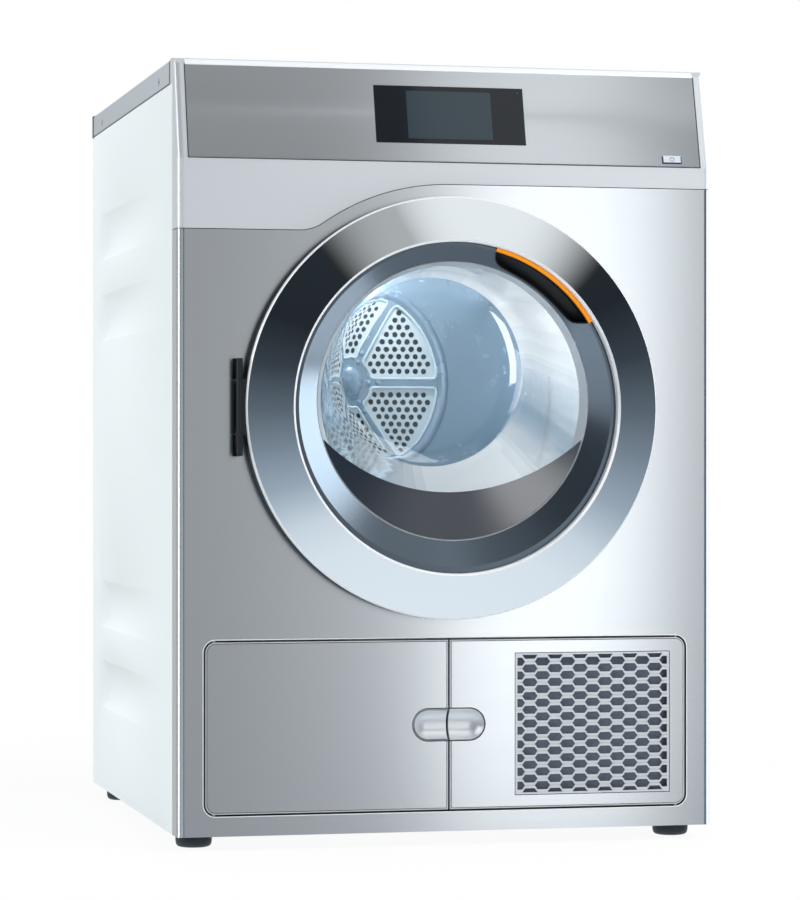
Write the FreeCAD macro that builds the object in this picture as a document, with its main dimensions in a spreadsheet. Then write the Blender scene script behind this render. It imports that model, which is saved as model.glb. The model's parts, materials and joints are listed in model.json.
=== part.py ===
import FreeCAD, Part
import math
import os
import Sketcher
from types import SimpleNamespace
from FreeCAD import Placement, Rotation, Vector

# Heat pump dryer, as separate pieces in millimetres.
# X runs to the right, Y to the back and Z up; the origin is on the floor under the middle.

# Driving sizes: name, value and what it measures
SIZES = (
    ("case_width", 596, "outside width"),
    ("case_height", 850, "floor to top of lid"),
    ("case_depth", 660, "front panel face to back of lid"),
    ("sheet", 1.2, "sheet steel of the casing"),
    ("play", 0.3, "clearance between neighbouring pieces"),
    ("running", 0.06, "radial clearance of a shaft in its hole"),
    ("foot_height", 16, "floor to underside of casing"),
    ("foot_radius", 20, "foot disc"),
    ("foot_side", 28, "foot centre from the side"),
    ("foot_front", 60, "foot centre from the front face"),
    ("foot_back", 62, "foot centre from the rear panel"),
    ("stem_radius", 5, "threaded stem of a foot"),
    ("stem_length", 30, "stem above the foot disc"),
    ("boss_radius", 13, "boss that takes a foot stem"),
    ("boss_height", 32, "boss above the tray's underside"),
    ("return_depth", 32, "side return of the front panel"),
    ("edge_radius", 8, "upright edges of the front panel"),
    ("bottom_lip", 26, "turned-in bottom edge of the front panel"),
    ("seam_drop", 51.9, "seam's left line below its crown"),
    ("seam_clear", 15, "seam's arc outside the door"),
    ("seam_fillet", 45, "hollow where the seam's arc meets its left line"),
    ("seam_gap", 0.8, "gap along the seam"),
    ("flap_bottom", 37.5, "height of the flap opening's lower edge"),
    ("flap_opening_height", 188, "flap opening height"),
    ("flap_side", 28.5, "flap opening's end from the casing side"),
    ("flap_corner", 13, "corner radius of the flap opening"),
    ("flap_gap", 2.2, "gap round a flap"),
    ("flap_depth", 13, "depth of a flap's turned edge"),
    ("flap_rim", 11, "width of the frame round the flaps"),
    ("flap_pin_radius", 2, "flap pivot pin"),
    ("flap_pin_side", 11.6, "pivot axis from the opening's side"),
    ("flap_pin_set", 4.2, "pivot axis behind the front face"),
    ("flap_pin_length", 7, "pin beyond the flap's end"),
    ("flap_block", 12.5, "solid corner that carries a pivot pin"),
    ("grip_length", 41, "finger recess, split to outer end"),
    ("grip_height", 37, "finger recess height"),
    ("grip_middle", 131.6, "height of the finger recess's middle"),
    ("grip_depth", 10, "finger recess depth"),
    ("grille_side", 18.5, "grille's right edge from the flap opening's end"),
    ("grille_width", 175, "grille width"),
    ("grille_bottom", 54, "height of the grille's lower edge"),
    ("grille_height", 155, "grille height"),
    ("grille_rim", 3, "flange of the grille behind the flap"),
    ("grille_wall", 1.8, "thickness of the grille's flange"),
    ("cell_wide", 17, "grille opening, point to point"),
    ("cell_tall", 9.4, "grille opening height"),
    ("cell_step_x", 28.3, "grille pitch across"),
    ("cell_step_z", 15.4, "grille pitch upwards"),
    ("fascia_height", 109, "height of the leaning part of the fascia"),
    ("fascia_lean", 29, "how far the fascia leans back"),
    ("fascia_wall", 2.5, "fascia wall"),
    ("fascia_round", 6, "slanted top edge of the fascia"),
    ("plate_side", 12.5, "fascia plate's end from the casing side"),
    ("plate_steel", 1.2, "fascia plate thickness"),
    ("plate_edge", 1, "fascia plate's lower edge above the split"),
    ("display_left", -79, "display glass, left edge"),
    ("display_width", 167, "display glass width"),
    ("display_low", 21.5, "display glass's lower edge up the slope"),
    ("display_height", 65.5, "display glass height"),
    ("display_glass", 2.4, "display glass thickness"),
    ("display_proud", 0.4, "display glass above the plate"),
    ("display_rim", 14, "glass edge round the display module"),
    ("display_module", 12, "display module depth"),
    ("button_side", 55.5, "power button's left edge from the casing side"),
    ("button_width", 22, "power button width"),
    ("button_low", 3.8, "power button's lower edge up the slope"),
    ("button_height", 9, "power button height"),
    ("button_proud", 1.4, "power button above the plate"),
    ("button_travel", 1.5, "power button travel"),
    ("button_depth", 6, "power button below the plate"),
    ("control_side", 202, "control unit's left end from the casing side"),
    ("control_width", 130, "control unit width"),
    ("control_height", 76, "control unit height"),
    ("control_depth", 13, "control unit depth"),
    ("lid_height", 27, "lid height"),
    ("lid_front", 46, "lid's front edge behind the front face"),
    ("lid_wall", 2, "lid wall"),
    ("lid_edge", 3, "rounding of the lid's edges"),
    ("lid_overhang", 14, "lid beyond the rear panel"),
    ("lid_trim", 16, "depth of the lid's rear trim"),
    ("bead_height", 58, "height of a side panel's bead"),
    ("bead_depth", 5, "depth of a side panel's bead"),
    ("bead_front", 110, "bead's front end behind the front face"),
    ("bead_back", 51, "bead's rear end from the rear panel"),
    ("bead_ramp", 87, "slope at a bead's end"),
    ("bead_one", 145, "height of the lowest bead"),
    ("bead_two", 243, "height of the second bead"),
    ("bead_three_down", 257, "third bead below the lid's top"),
    ("bead_four_down", 158, "top bead below the lid's top"),
    ("flange", 16, "turned-in edge of a side panel"),
    ("screw_head", 4.5, "screw head radius"),
    ("screw_shank", 2, "screw shank radius"),
    ("screw_length", 8, "screw shank length"),
    ("lid_screw_front", 123, "lid screw behind the front face"),
    ("lid_screw_back", 90, "rear lid screw from the lid's back"),
    ("lid_screw_down", 16, "lid screw below the lid's top"),
    ("rear_screw_edge", 8, "rear screw from the panel's edge"),
    ("tray_front", 34, "tray behind the front face"),
    ("tray_height", 50, "tray wall height"),
    ("tray_wall", 3, "tray wall"),
    ("divider_x", -12, "tray's dividing wall"),
    ("door_above", 38.6, "door's edge below the leaning fascia"),
    ("door_below", 20.9, "door's edge above the flap opening"),
    ("door_side", 70, "door's edge from the casing side"),
    ("door_proud", 46, "door in front of the front face"),
    ("door_edge", 24, "door's outer edge in front of the face"),
    ("door_stand", 3.4, "door's back in front of the face"),
    ("ring_width", 50, "outer ring, outer edge to inner edge"),
    ("ring_chamfer", 4, "bevel at the outer ring's inner edge"),
    ("ring_wall", 2.5, "outer ring wall"),
    ("ring_lip", 6, "rim of the outer ring"),
    ("ring_depth", 11, "inner wall of the outer ring"),
    ("cone_start", 38, "inner ring's outer edge in front of the face"),
    ("cone_wall", 3, "inner ring wall"),
    ("opening_inset", 27, "glass opening inside the outer ring"),
    ("opening_set", 22, "glass opening in front of the face"),
    ("opening_rise", 7.2, "glass opening above the door's middle"),
    ("frame_wall", 4, "door frame wall"),
    ("frame_taper", 5, "how much the door frame narrows to its back"),
    ("frame_width", 62, "door frame, door's edge to its hole"),
    ("handle_clock", 36.25, "middle of the handle, degrees from the top"),
    ("handle_sweep", 43.5, "handle length in degrees"),
    ("handle_reach", 15.6, "handle pocket inside the outer ring"),
    ("handle_under", 14, "handle pocket behind the outer ring"),
    ("handle_floor", 9, "handle pocket's floor in front of the face"),
    ("handle_wall", 1.6, "handle pocket wall"),
    ("handle_lip", 33, "handle pocket's lip in front of the face"),
    ("accent_width", 4.4, "coloured strip in the handle"),
    ("bowl_wall", 5, "door glass thickness"),
    ("bowl_lap", 3, "door glass rim beyond its opening"),
    ("bowl_shoulder_depth", 80, "bowl's shoulder behind the front face"),
    ("bowl_narrow", 29, "bowl's shoulder inside the glass opening"),
    ("bowl_end_depth", 95, "bowl's end behind the front face"),
    ("bowl_bevel", 18, "bevel from the bowl's shoulder to its end"),
    ("bowl_rise", 20, "bowl's end above the glass opening"),
    ("chin_width", 59, "chin's cone, glass opening inwards"),
    ("chin_rise", 25, "depth of the chin's cone"),
    ("chin_wall", 2.5, "chin thickness"),
    ("chin_arc", 209, "arc of the chin's upper edge"),
    ("chin_top", 52.8, "chin height at the middle"),
    ("seal_inset", 25, "door seal inside the door's edge"),
    ("seal_width", 7, "door seal width"),
    ("hinge_side", 6, "hinge axis outside the door's edge"),
    ("hinge_set", 20, "hinge axis in front of the face"),
    ("knuckle_radius", 5, "hinge knuckle"),
    ("hinge_pin", 2.5, "hinge pin radius"),
    ("hinge_height", 104, "hinge height"),
    ("hinge_leaf", 22, "height of each fixed knuckle"),
    ("hinge_arm", 44, "hinge arm inside the door"),
    ("hinge_plate", 3, "hinge plate thickness"),
    ("hinge_reach", 24, "hinge plate beyond the axis"),
    ("striker_inset", 23, "striker inside the door's edge"),
    ("striker_width", 6, "striker width"),
    ("striker_height", 18, "striker height"),
    ("striker_length", 20, "striker behind the front face"),
    ("striker_room", 4, "room round the striker in its lock"),
    ("lock_wall", 3, "door lock wall"),
    ("aperture_inset", 43, "loading aperture inside the door's edge"),
    ("collar_wall", 2.5, "aperture collar wall"),
    ("collar_front", 3, "collar behind the front face"),
    ("panel_clear", 2.5, "front panel hole outside the collar"),
    ("bulkhead_set", 44, "front bulkhead behind the front face"),
    ("bulkhead_wall", 1.5, "bulkhead thickness"),
    ("bulkhead_down", 12, "bulkheads' upper edge below the lid"),
    ("bulkhead_low", 219, "height of the bulkheads' lower edge"),
    ("lamp_width", 36, "drum lamp width"),
    ("lamp_height", 7, "drum lamp height"),
    ("filter_half", 112, "half the lint filter's width"),
    ("filter_front", 18.5, "lint filter behind the front face"),
    ("filter_thick", 24, "lint filter thickness"),
    ("filter_low", 236, "height of the lint filter's lower edge"),
    ("filter_wall", 3, "lint filter frame"),
    ("drum_offset", -4.5, "drum's axis from the middle between heat pump cover and lid"),
    ("drum_lift", 40.6, "drum's axis above the door's middle"),
    ("drum_side", 26, "drum from the casing side"),
    ("drum_headroom", 36, "drum below the lid"),
    ("drum_floor", 27, "drum above the heat pump cover"),
    ("drum_front", 54, "drum's front edge behind the front face"),
    ("drum_behind", 86, "drum's back edge from the rear panel"),
    ("drum_wall", 1.2, "drum steel"),
    ("mouth_clear", 48, "drum mouth outside the loading aperture"),
    ("drum_bevel", 14, "bevel at the drum's front edge"),
    ("felt", 3.4, "felt seal thickness"),
    ("drum_ring", 22, "length of the ring that carries the felt"),
    ("wall_set", 14, "drum's rear wall inside its back edge"),
    ("wall_steel", 2, "drum rear wall thickness"),
    ("hole_radius", 4, "holes in the drum's rear wall"),
    ("hole_step", 15, "pitch of those holes"),
    ("holes_inner", 34, "inner edge of the holed sectors"),
    ("holes_outer", 122, "outer edge of the holed sectors"),
    ("spoke_half", 10, "half of a plain spoke between sectors"),
    ("lifter_height", 58, "lifter height"),
    ("lifter_base", 66, "lifter width at the drum"),
    ("lifter_crown", 26, "lifter width at its top"),
    ("lifter_end", 36, "lifter's end from the drum's end"),
    ("spindle_radius", 12.5, "drum spindle"),
    ("spindle_flange", 64, "drum spindle's flange"),
    ("spindle_plate", 4, "flange thickness"),
    ("rear_wall_set", 60, "rear bulkhead from the rear panel"),
    ("bearing_radius", 34, "rear bearing housing"),
    ("bearing_length", 26, "rear bearing length"),
    ("duct_half", 205, "half the rear duct's width"),
    ("duct_low", 24, "height of the rear duct's lower end"),
    ("duct_down", 76, "rear duct's upper end below the bulkheads' edge"),
    ("duct_wall", 2, "duct wall"),
    ("port_radius", 28, "air port in the rear bulkhead"),
    ("port_ring", 96, "ring of those air ports"),
    ("fan_x", -118, "process fan"),
    ("fan_z", 118, "height of the process fan"),
    ("fan_radius", 72, "process fan radius"),
    ("fan_width", 30, "process fan width"),
    ("fan_hub", 24, "process fan hub"),
    ("fan_shaft", 4, "process fan shaft"),
    ("roller_radius", 24, "drum support roller"),
    ("roller_width", 18, "roller width"),
    ("roller_angle", 35, "roller from straight down, degrees"),
    ("roller_set", 74, "rollers behind the front face"),
    ("axle_radius", 6, "roller axle"),
    ("motor_side", 64, "drive motor from the casing side"),
    ("motor_z", 262, "height of the drive motor"),
    ("motor_radius", 46, "drive motor radius"),
    ("motor_ahead", 100, "drive motor's stand in front of the compressor's middle"),
    ("motor_length", 140, "drive motor length"),
    ("shaft_radius", 5, "motor shaft"),
    ("pulley_radius", 12, "motor pulley"),
    ("pulley_flange", 3, "flange of the motor pulley"),
    ("belt_ahead", 30, "belt in front of the motor's stand"),
    ("belt_width", 10, "belt width"),
    ("belt_thick", 2, "belt thickness"),
    ("bracket_wall", 3, "motor bracket thickness"),
    ("cover_top", 216, "height of the heat pump cover"),
    ("cover_front", 70, "heat pump cover behind the front face"),
    ("cover_behind", 70, "heat pump cover's end from the rear panel"),
    ("cover_wall", 2.5, "heat pump cover wall"),
    ("coil_low", 22, "height of the coils' lower edge"),
    ("coil_top", 200, "height of the coils"),
    ("coil_depth", 110, "coil depth"),
    ("evaporator_set", 140, "evaporator behind the front face"),
    ("condenser_set", 300, "condenser behind the front face"),
    ("fin_step", 9, "fin pitch"),
    ("fin_slot", 5, "gap between fins"),
    ("fin_spine", 6, "spine that joins the fins"),
    ("compressor_step", 84, "compressor from the drive motor, across"),
    ("compressor_set", 216, "compressor from the rear panel"),
    ("compressor_radius", 66, "compressor radius"),
    ("compressor_height", 168, "compressor height"),
    ("compressor_dome", 26, "bevel of the compressor's ends"),
    ("pipe_radius", 5, "refrigerant pipe"),
    ("pipe_bend", 16, "bend of a refrigerant pipe"),
    ("suction_z", 204, "height of the suction pipe"),
    ("liquid_z", 184, "height of the liquid pipe"),
    ("pump_x", 70, "condensate pump"),
    ("pump_set", 106, "condensate pump from the rear panel"),
    ("pump_radius", 26, "condensate pump radius"),
    ("pump_height", 74, "condensate pump height"),
    ("plinth_side", 48, "plinth filter from the casing side"),
    ("plinth_width", 224, "plinth filter width"),
    ("plinth_set", 40, "plinth filter behind the front face"),
    ("plinth_thick", 26, "plinth filter thickness"),
    ("plinth_top", 212, "height of the plinth filter"),
    ("plinth_frame", 9, "plinth filter frame"),
    ("blower_side", 135, "cooling fan from the casing side"),
    ("blower_z", 131, "height of the cooling fan"),
    ("blower_radius", 66, "cooling fan radius"),
    ("blower_hub", 22, "cooling fan hub"),
    ("blower_width", 18, "cooling fan width"),
    ("blower_set", 56, "cooling fan behind the front face"),
    ("blower_frame", 3, "cooling fan frame thickness"),
    ("blower_clear", 3, "cooling fan in its frame"),
    ("blower_arm", 9, "width of the frame's arms"),
    ("cover_radius", 150, "hole behind the rear cover"),
    ("cover_bulge", 9, "rear cover beyond the rear panel"),
    ("cover_rim", 18, "rim of the rear cover"),
    ("vent_left", 70, "rear vents, left end from the middle"),
    ("vent_width", 170, "rear vent width"),
    ("vent_height", 8, "rear vent height"),
    ("vent_step", 20, "rear vent pitch"),
    ("vent_low", 70, "height of the lowest rear vent"),
    ("gland_side", 68, "cable gland from the casing side"),
    ("gland_down", 80, "cable gland below the lid's top"),
    ("gland_radius", 11, "cable gland radius"),
    ("gland_bore", 4.5, "cable gland bore"),
    ("gland_proud", 10, "cable gland beyond the rear panel"),
    ("spigot_side", 68, "drain spigot from the casing side"),
    ("spigot_down", 80, "drain spigot below the lid's top"),
    ("spigot_radius", 9, "drain spigot radius"),
    ("spigot_bore", 6.5, "drain spigot bore"),
    ("spigot_proud", 13, "drain spigot beyond the rear panel"),
)

VENT_COUNT = 6
LIFTER_COUNT = 3
PORT_COUNT = 6
SECTOR_COUNT = 6
FAN_BLADES = 18
BLOWER_BLADES = 7

doc = FreeCAD.newDocument("heat_pump_dryer")
nodes = []


class Size:
    """A number with the formula that a document property is bound to."""

    def __init__(self, number, formula):
        self.number = float(number)
        self.formula = formula

    def __float__(self):
        return self.number

    def joined(self, other, sign, number):
        return Size(number, f"({self.formula} {sign} {other.formula})")

    def __add__(self, other):
        other = as_size(other)
        return self.joined(other, "+", self.number + other.number)

    def __sub__(self, other):
        other = as_size(other)
        return self.joined(other, "-", self.number - other.number)

    def __mul__(self, other):
        other = as_size(other)
        return self.joined(other, "*", self.number * other.number)

    def __truediv__(self, other):
        other = as_size(other)
        return self.joined(other, "/", self.number / other.number)

    def __radd__(self, other):
        return as_size(other) + self

    def __rsub__(self, other):
        return as_size(other) - self

    def __rmul__(self, other):
        return as_size(other) * self

    def __neg__(self):
        return as_size(0) - self


def as_size(value):
    if isinstance(value, Size):
        return value
    return Size(value, f"({float(value)})")


def root(size):
    return Size(math.sqrt(size.number), f"sqrt({size.formula})")


def sine(degrees):
    return Size(math.sin(math.radians(degrees.number)), f"sin({degrees.formula} * 1 deg)")


def cosine(degrees):
    return Size(math.cos(math.radians(degrees.number)), f"cos({degrees.formula} * 1 deg)")


def smaller(one, other):
    return Size(min(one.number, other.number), f"min({one.formula}; {other.formula})")


def write_sheet():
    sheet = doc.addObject("Spreadsheet::Sheet", "sizes")
    for row, (name, value, words) in enumerate(SIZES, 1):
        sheet.set(f"A{row}", words)
        sheet.set(f"B{row}", str(value))
        sheet.setAlias(f"B{row}", name)
    doc.recompute()
    return SimpleNamespace(**{name: Size(sheet.get(name), f"sizes.{name}") for name, _, _ in SIZES})


d = write_sheet()

# Places that many pieces share
front = (d.door_proud - d.case_depth) / 2
rear = front + d.case_depth
back = rear - d.lid_overhang
side = d.case_width / 2
inside = side - d.sheet
clear_side = inside - d.bead_depth - d.play
lid_z = d.case_height - d.lid_height
tray_floor = d.foot_height + d.tray_wall
tray_top = d.foot_height + d.tray_height
fascia_split = d.case_height - d.fascia_height
flap_top = d.flap_bottom + d.flap_opening_height
flap_half = side - d.flap_side
grille_left = flap_half - d.grille_side - d.grille_width
button_left = side - d.button_side
control_left = side - d.control_side
bulkhead_top = lid_z - d.bulkhead_down
duct_top = bulkhead_top - d.duct_down
motor_x = side - d.motor_side
compressor_x, compressor_y = motor_x - d.compressor_step, back - d.compressor_set
motor_y = compressor_y - d.motor_ahead
belt_y = motor_y - d.belt_ahead
cover_back = back - d.cover_behind
plinth_left = d.plinth_side - side
blower_x = side - d.blower_side
gland_x, gland_z = side - d.gland_side, d.case_height - d.gland_down
spigot_x, spigot_z = d.spigot_side - side, d.case_height - d.spigot_down
drum_height = (d.cover_top + lid_z) / 2 + d.drum_offset

# The door follows the drum's height and fills the room between flaps, fascia and sides
door_height = drum_height - d.drum_lift
door_room = smaller(fascia_split - d.door_above - door_height, door_height - flap_top - d.door_below)
door_radius = smaller(side - d.door_side, door_room)
ring_inner = door_radius - d.ring_width
opening_radius = ring_inner - d.opening_inset
frame_inner = door_radius - d.frame_width
handle_inner = ring_inner - d.handle_reach
handle_outer = ring_inner + d.handle_under
bowl_mouth = opening_radius + d.bowl_lap
bowl_shoulder = opening_radius - d.bowl_narrow
bowl_end = bowl_shoulder - d.bowl_bevel
chin_inner = opening_radius - d.chin_width
seal_radius = door_radius - d.seal_inset
striker_x = door_radius - d.striker_inset
aperture_radius = door_radius - d.aperture_inset
seam_radius = door_radius + d.seam_clear
seam_left = door_height + seam_radius - d.seam_drop

# The drum fills the room between sides, lid and heat pump
drum_room = smaller(lid_z - d.drum_headroom - drum_height, drum_height - d.cover_top - d.drum_floor)
drum_radius = smaller(side - d.drum_side, drum_room)
drum_mouth = aperture_radius + d.mouth_clear

# Places on the door, the drum and the slope
hinge_x = -door_radius - d.hinge_side
hinge_y = front - d.hinge_set
opening_z = door_height + d.opening_rise
bulkhead_y = front + d.bulkhead_set
bulkhead_back = bulkhead_y + d.bulkhead_wall
bulkhead_half = inside - d.play
drum_y = front + d.drum_front
drum_back = back - d.drum_behind
drum_inside = drum_radius - d.drum_wall
rear_bulkhead_y = back - d.rear_wall_set
rear_bulkhead_back = rear_bulkhead_y + d.bulkhead_wall
slope_rise = d.case_height - fascia_split
slope_run = root(slope_rise * slope_rise + d.fascia_lean * d.fascia_lean)


# Helpers that make and bind document objects

def bind(item, prop, size):
    item.setExpression(prop, as_size(size).formula)


def place(item, x, y, z):
    for axis, size in zip("xyz", (x, y, z)):
        bind(item, f"Placement.Base.{axis}", size)


def point(x, y, z):
    return Vector(float(x), float(y), float(z))


def keep(item):
    nodes.append(item)
    return item


def block(label, x, y, z):
    solid = doc.addObject("Part::Box", label)
    lows = []
    for prop, ends in zip(("Length", "Width", "Height"), (x, y, z)):
        low, high = sorted((as_size(end) for end in ends), key=float)
        bind(solid, prop, high - low)
        lows.append(low)
    place(solid, *lows)
    return solid


TURNS = {
    "x": Rotation(Vector(0, 1, 0), 90),
    "y": Rotation(Vector(1, 0, 0), -90),
    "z": Rotation(),
}


def rod(label, axis, start, radius, length):
    solid = doc.addObject("Part::Cylinder", label)
    solid.Placement = Placement(Vector(), TURNS[axis])
    bind(solid, "Radius", radius)
    bind(solid, "Height", length)
    place(solid, *start)
    return solid


def join(label, *items):
    solid = doc.addObject("Part::MultiFuse", label)
    solid.Shapes = list(items)
    return solid


def cut(label, base, *tools):
    solid = doc.addObject("Part::Cut", label)
    solid.Base = base
    solid.Tool = tools[0] if len(tools) == 1 else join(f"{label}_tools", *tools)
    return solid


def common(label, base, tool):
    solid = doc.addObject("Part::Common", label)
    solid.Base = base
    solid.Tool = tool
    return solid


def group(label, *items):
    solid = doc.addObject("Part::Compound", label)
    solid.Links = list(items)
    return solid


def shaped(label, shape):
    solid = doc.addObject("Part::Feature", label)
    solid.Shape = shape
    return solid


def tube(label, axis, start, outer, inner, length):
    return cut(label, rod(f"{label}_rod", axis, start, outer, length),
               rod(f"{label}_bore", axis, start, inner, length))


def oblique(label, sections):
    """A loft along Y through circles, each given as depth, height and radius."""
    rings = []
    for number, (y, z, radius) in enumerate(sections):
        ring = doc.addObject("Part::Circle", f"{label}_ring_{number}")
        ring.Placement = Placement(Vector(), TURNS["y"])
        bind(ring, "Radius", radius)
        place(ring, 0, y, z)
        rings.append(ring)
    loft = doc.addObject("Part::Loft", label)
    loft.Sections = rings
    loft.Solid = True
    loft.Ruled = True
    return loft


def new_body(label, x=0, y=0, z=0):
    body = doc.addObject("PartDesign::Body", label)
    place(body, x, y, z)
    return body


def sketch_on(body, role, lift=0):
    plane = [item for item in body.Origin.OriginFeatures if item.Role == role][0]
    sketch = body.newObject("Sketcher::SketchObject", f"{body.Label}_sketch")
    sketch.AttachmentSupport = (plane, [""])
    sketch.MapMode = "FlatFace"
    bind(sketch, "AttachmentOffset.Base.z", lift)
    return sketch


def outline(sketch, corners):
    corners = [(as_size(u), as_size(v)) for u, v in corners]
    count = len(corners)
    for number, (u, v) in enumerate(corners):
        next_u, next_v = corners[(number + 1) % count]
        sketch.addGeometry(Part.LineSegment(point(u, v, 0), point(next_u, next_v, 0)))
    for number in range(count):
        sketch.addConstraint(Sketcher.Constraint("Coincident", number, 2, (number + 1) % count, 1))
    for number, (u, v) in enumerate(corners):
        for kind, size in (("DistanceX", u), ("DistanceY", v)):
            index = sketch.addConstraint(Sketcher.Constraint(kind, -1, 1, number, 1, float(size)))
            bind(sketch, f"Constraints[{index}]", size)


def add_pad(body, sketch, length, reverse=False):
    pad = body.newObject("PartDesign::Pad", f"{body.Label}_pad")
    pad.Profile = sketch
    pad.Reversed = reverse
    bind(pad, "Length", length)
    return pad


def add_fillet(body, feature, radius, wanted):
    doc.recompute()
    names = [f"Edge{n}" for n, edge in enumerate(feature.Shape.Edges, 1) if wanted(edge)]
    fillet = body.newObject("PartDesign::Fillet", f"{body.Label}_fillet")
    fillet.Base = (feature, names)
    bind(fillet, "Radius", radius)
    return fillet


def runs_along(axis):
    def test(edge):
        direction = edge.tangentAt(edge.FirstParameter)
        return abs(abs(getattr(direction, axis)) - 1) < 1e-6
    return test


def plate(label, x, z, y, thick, corner=None):
    """A flat plate across Y, with rounded corners where a radius is given."""
    body = new_body(label)
    sketch = sketch_on(body, "XZ_Plane", -y)
    (left, right), (low, high) = x, z
    outline(sketch, ((left, low), (right, low), (right, high), (left, high)))
    pad = add_pad(body, sketch, thick, reverse=True)
    if corner is not None:
        add_fillet(body, pad, corner, runs_along("y"))
    return body


def turned(label, corners, x=0, z=0, sweep=None):
    """A body turned about a line along Y; corners are radius and depth."""
    body = new_body(label, x, 0, z)
    sketch = sketch_on(body, "XY_Plane")
    outline(sketch, corners)
    spin = body.newObject("PartDesign::Revolution", f"{label}_spin")
    spin.Profile = sketch
    spin.ReferenceAxis = (sketch, ["V_Axis"])
    spin.Angle = 360
    if sweep is not None:
        spin.Midplane = True
        bind(spin, "Angle", sweep)
    return body


def sloped_block(label, x, along, into):
    """A block on the leaning fascia: across, up the slope and into it."""
    solid = doc.addObject("Part::Box", label)
    solid.Placement = Placement(Vector(), Rotation(Vector(-1, 0, 0), 10))
    lean = d.fascia_lean / slope_rise
    angle = Size(math.degrees(math.atan(float(lean))), f"atan({lean.formula})")
    bind(solid, "Placement.Rotation.Angle", angle)
    for prop, (low, high) in zip(("Length", "Width", "Height"), (x, into, along)):
        bind(solid, prop, as_size(high) - low)
    start, depth = as_size(along[0]), as_size(into[0])
    place(solid, x[0], front + (start * d.fascia_lean + depth * slope_rise) / slope_run,
          fascia_split + (start * slope_rise - depth * d.fascia_lean) / slope_run)
    return solid


# Casing

def feet_places():
    x = side - d.foot_side
    y_front = front + d.foot_front
    y_back = back - d.foot_back
    return (("front_left_foot", -x, y_front), ("front_right_foot", x, y_front),
            ("rear_left_foot", -x, y_back), ("rear_right_foot", x, y_back))


def make_feet():
    disc_top = d.foot_height - d.play
    for label, x, y in feet_places():
        disc = rod(f"{label}_disc", "z", (x, y, 0), d.foot_radius, disc_top)
        stem = rod(f"{label}_stem", "z", (x, y, 0), d.stem_radius, disc_top + d.stem_length)
        keep(join(label, disc, stem))


def make_base_tray():
    half = inside - d.play
    y = (front + d.tray_front, back - d.sheet)
    shell = cut("tray_shell", block("tray_block", (-half, half), y, (d.foot_height, tray_top)),
                block("tray_hollow", (d.tray_wall - half, half - d.tray_wall),
                      (y[0] + d.tray_wall, y[1] - d.tray_wall), (tray_floor, tray_top + d.tray_wall)))
    divider = block("tray_divider", (d.divider_x - d.tray_wall, d.divider_x),
                    (front + d.cover_front, cover_back), (d.foot_height, tray_top))
    bosses = [rod(f"{label}_boss", "z", (x, y, d.foot_height), d.boss_radius, d.boss_height)
              for label, x, y in feet_places()]
    holes = [rod(f"{label}_hole", "z", (x, y, d.foot_height), d.stem_radius + d.running, d.boss_height)
             for label, x, y in feet_places()]
    keep(cut("base_tray", join("tray_body", shell, divider, *bosses), *holes))


def stadium(y_middle, length, z_middle, height, x):
    """A long rounded outline across X."""
    radius = height / 2
    reach = length / 2 - radius
    y_low, y_high = y_middle - reach, y_middle + reach
    corner = [Vector(x, y_low, z_middle + radius), Vector(x, y_high, z_middle + radius),
              Vector(x, y_high, z_middle - radius), Vector(x, y_low, z_middle - radius)]
    edges = [Part.LineSegment(corner[0], corner[1]),
             Part.Arc(corner[1], Vector(x, y_high + radius, z_middle), corner[2]),
             Part.LineSegment(corner[2], corner[3]),
             Part.Arc(corner[3], Vector(x, y_low - radius, z_middle), corner[0])]
    return Part.Wire([edge.toShape() for edge in edges])


def bead(sign, z, grow):
    """One long pressed-in bead of a side panel, grown by the sheet for its outside."""
    x_face, x_floor = sign * float(side), sign * float(side - d.bead_depth)
    y_start, y_end = float(front + d.bead_front), float(back - d.bead_back)
    y_middle = (y_start + y_end) / 2
    length, height = y_end - y_start, float(d.bead_height)
    floor_length = length - 2 * float(d.bead_ramp)
    floor_height = height - 2 * float(d.bead_depth)
    mouth = stadium(y_middle, length + 2 * grow, z, height + 2 * grow, x_face)
    floor = stadium(y_middle, floor_length + 2 * grow, z, floor_height + 2 * grow, x_floor - sign * grow)
    return Part.makeLoft([mouth, floor], True, True)


def make_side_panel(label, sign):
    top = lid_z - d.play
    y_end = back - d.sheet
    y = (front + d.return_depth + d.play, y_end)
    z = (d.foot_height, top)
    skin = block(f"{label}_skin", (sign * inside, sign * side), y, z)
    across = (sign * (side - d.flange), sign * side)
    top_flange = block(f"{label}_top", across, y, (top - d.sheet, top))
    rear_flange = block(f"{label}_rear", across, (y_end - d.sheet, y_end), (tray_top + d.play, top))
    heights = (d.bead_one, d.bead_two, d.case_height - d.bead_three_down, d.case_height - d.bead_four_down)
    pressed = [bead(sign, float(z), float(d.sheet)) for z in heights]
    hollow = [bead(sign, float(z), 0) for z in heights]
    pans = shaped(f"{label}_pans", Part.makeCompound(pressed))
    hollows = shaped(f"{label}_hollows", Part.makeCompound(hollow))
    keep(cut(label, join(f"{label}_body", skin, top_flange, rear_flange, pans), hollows))


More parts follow.
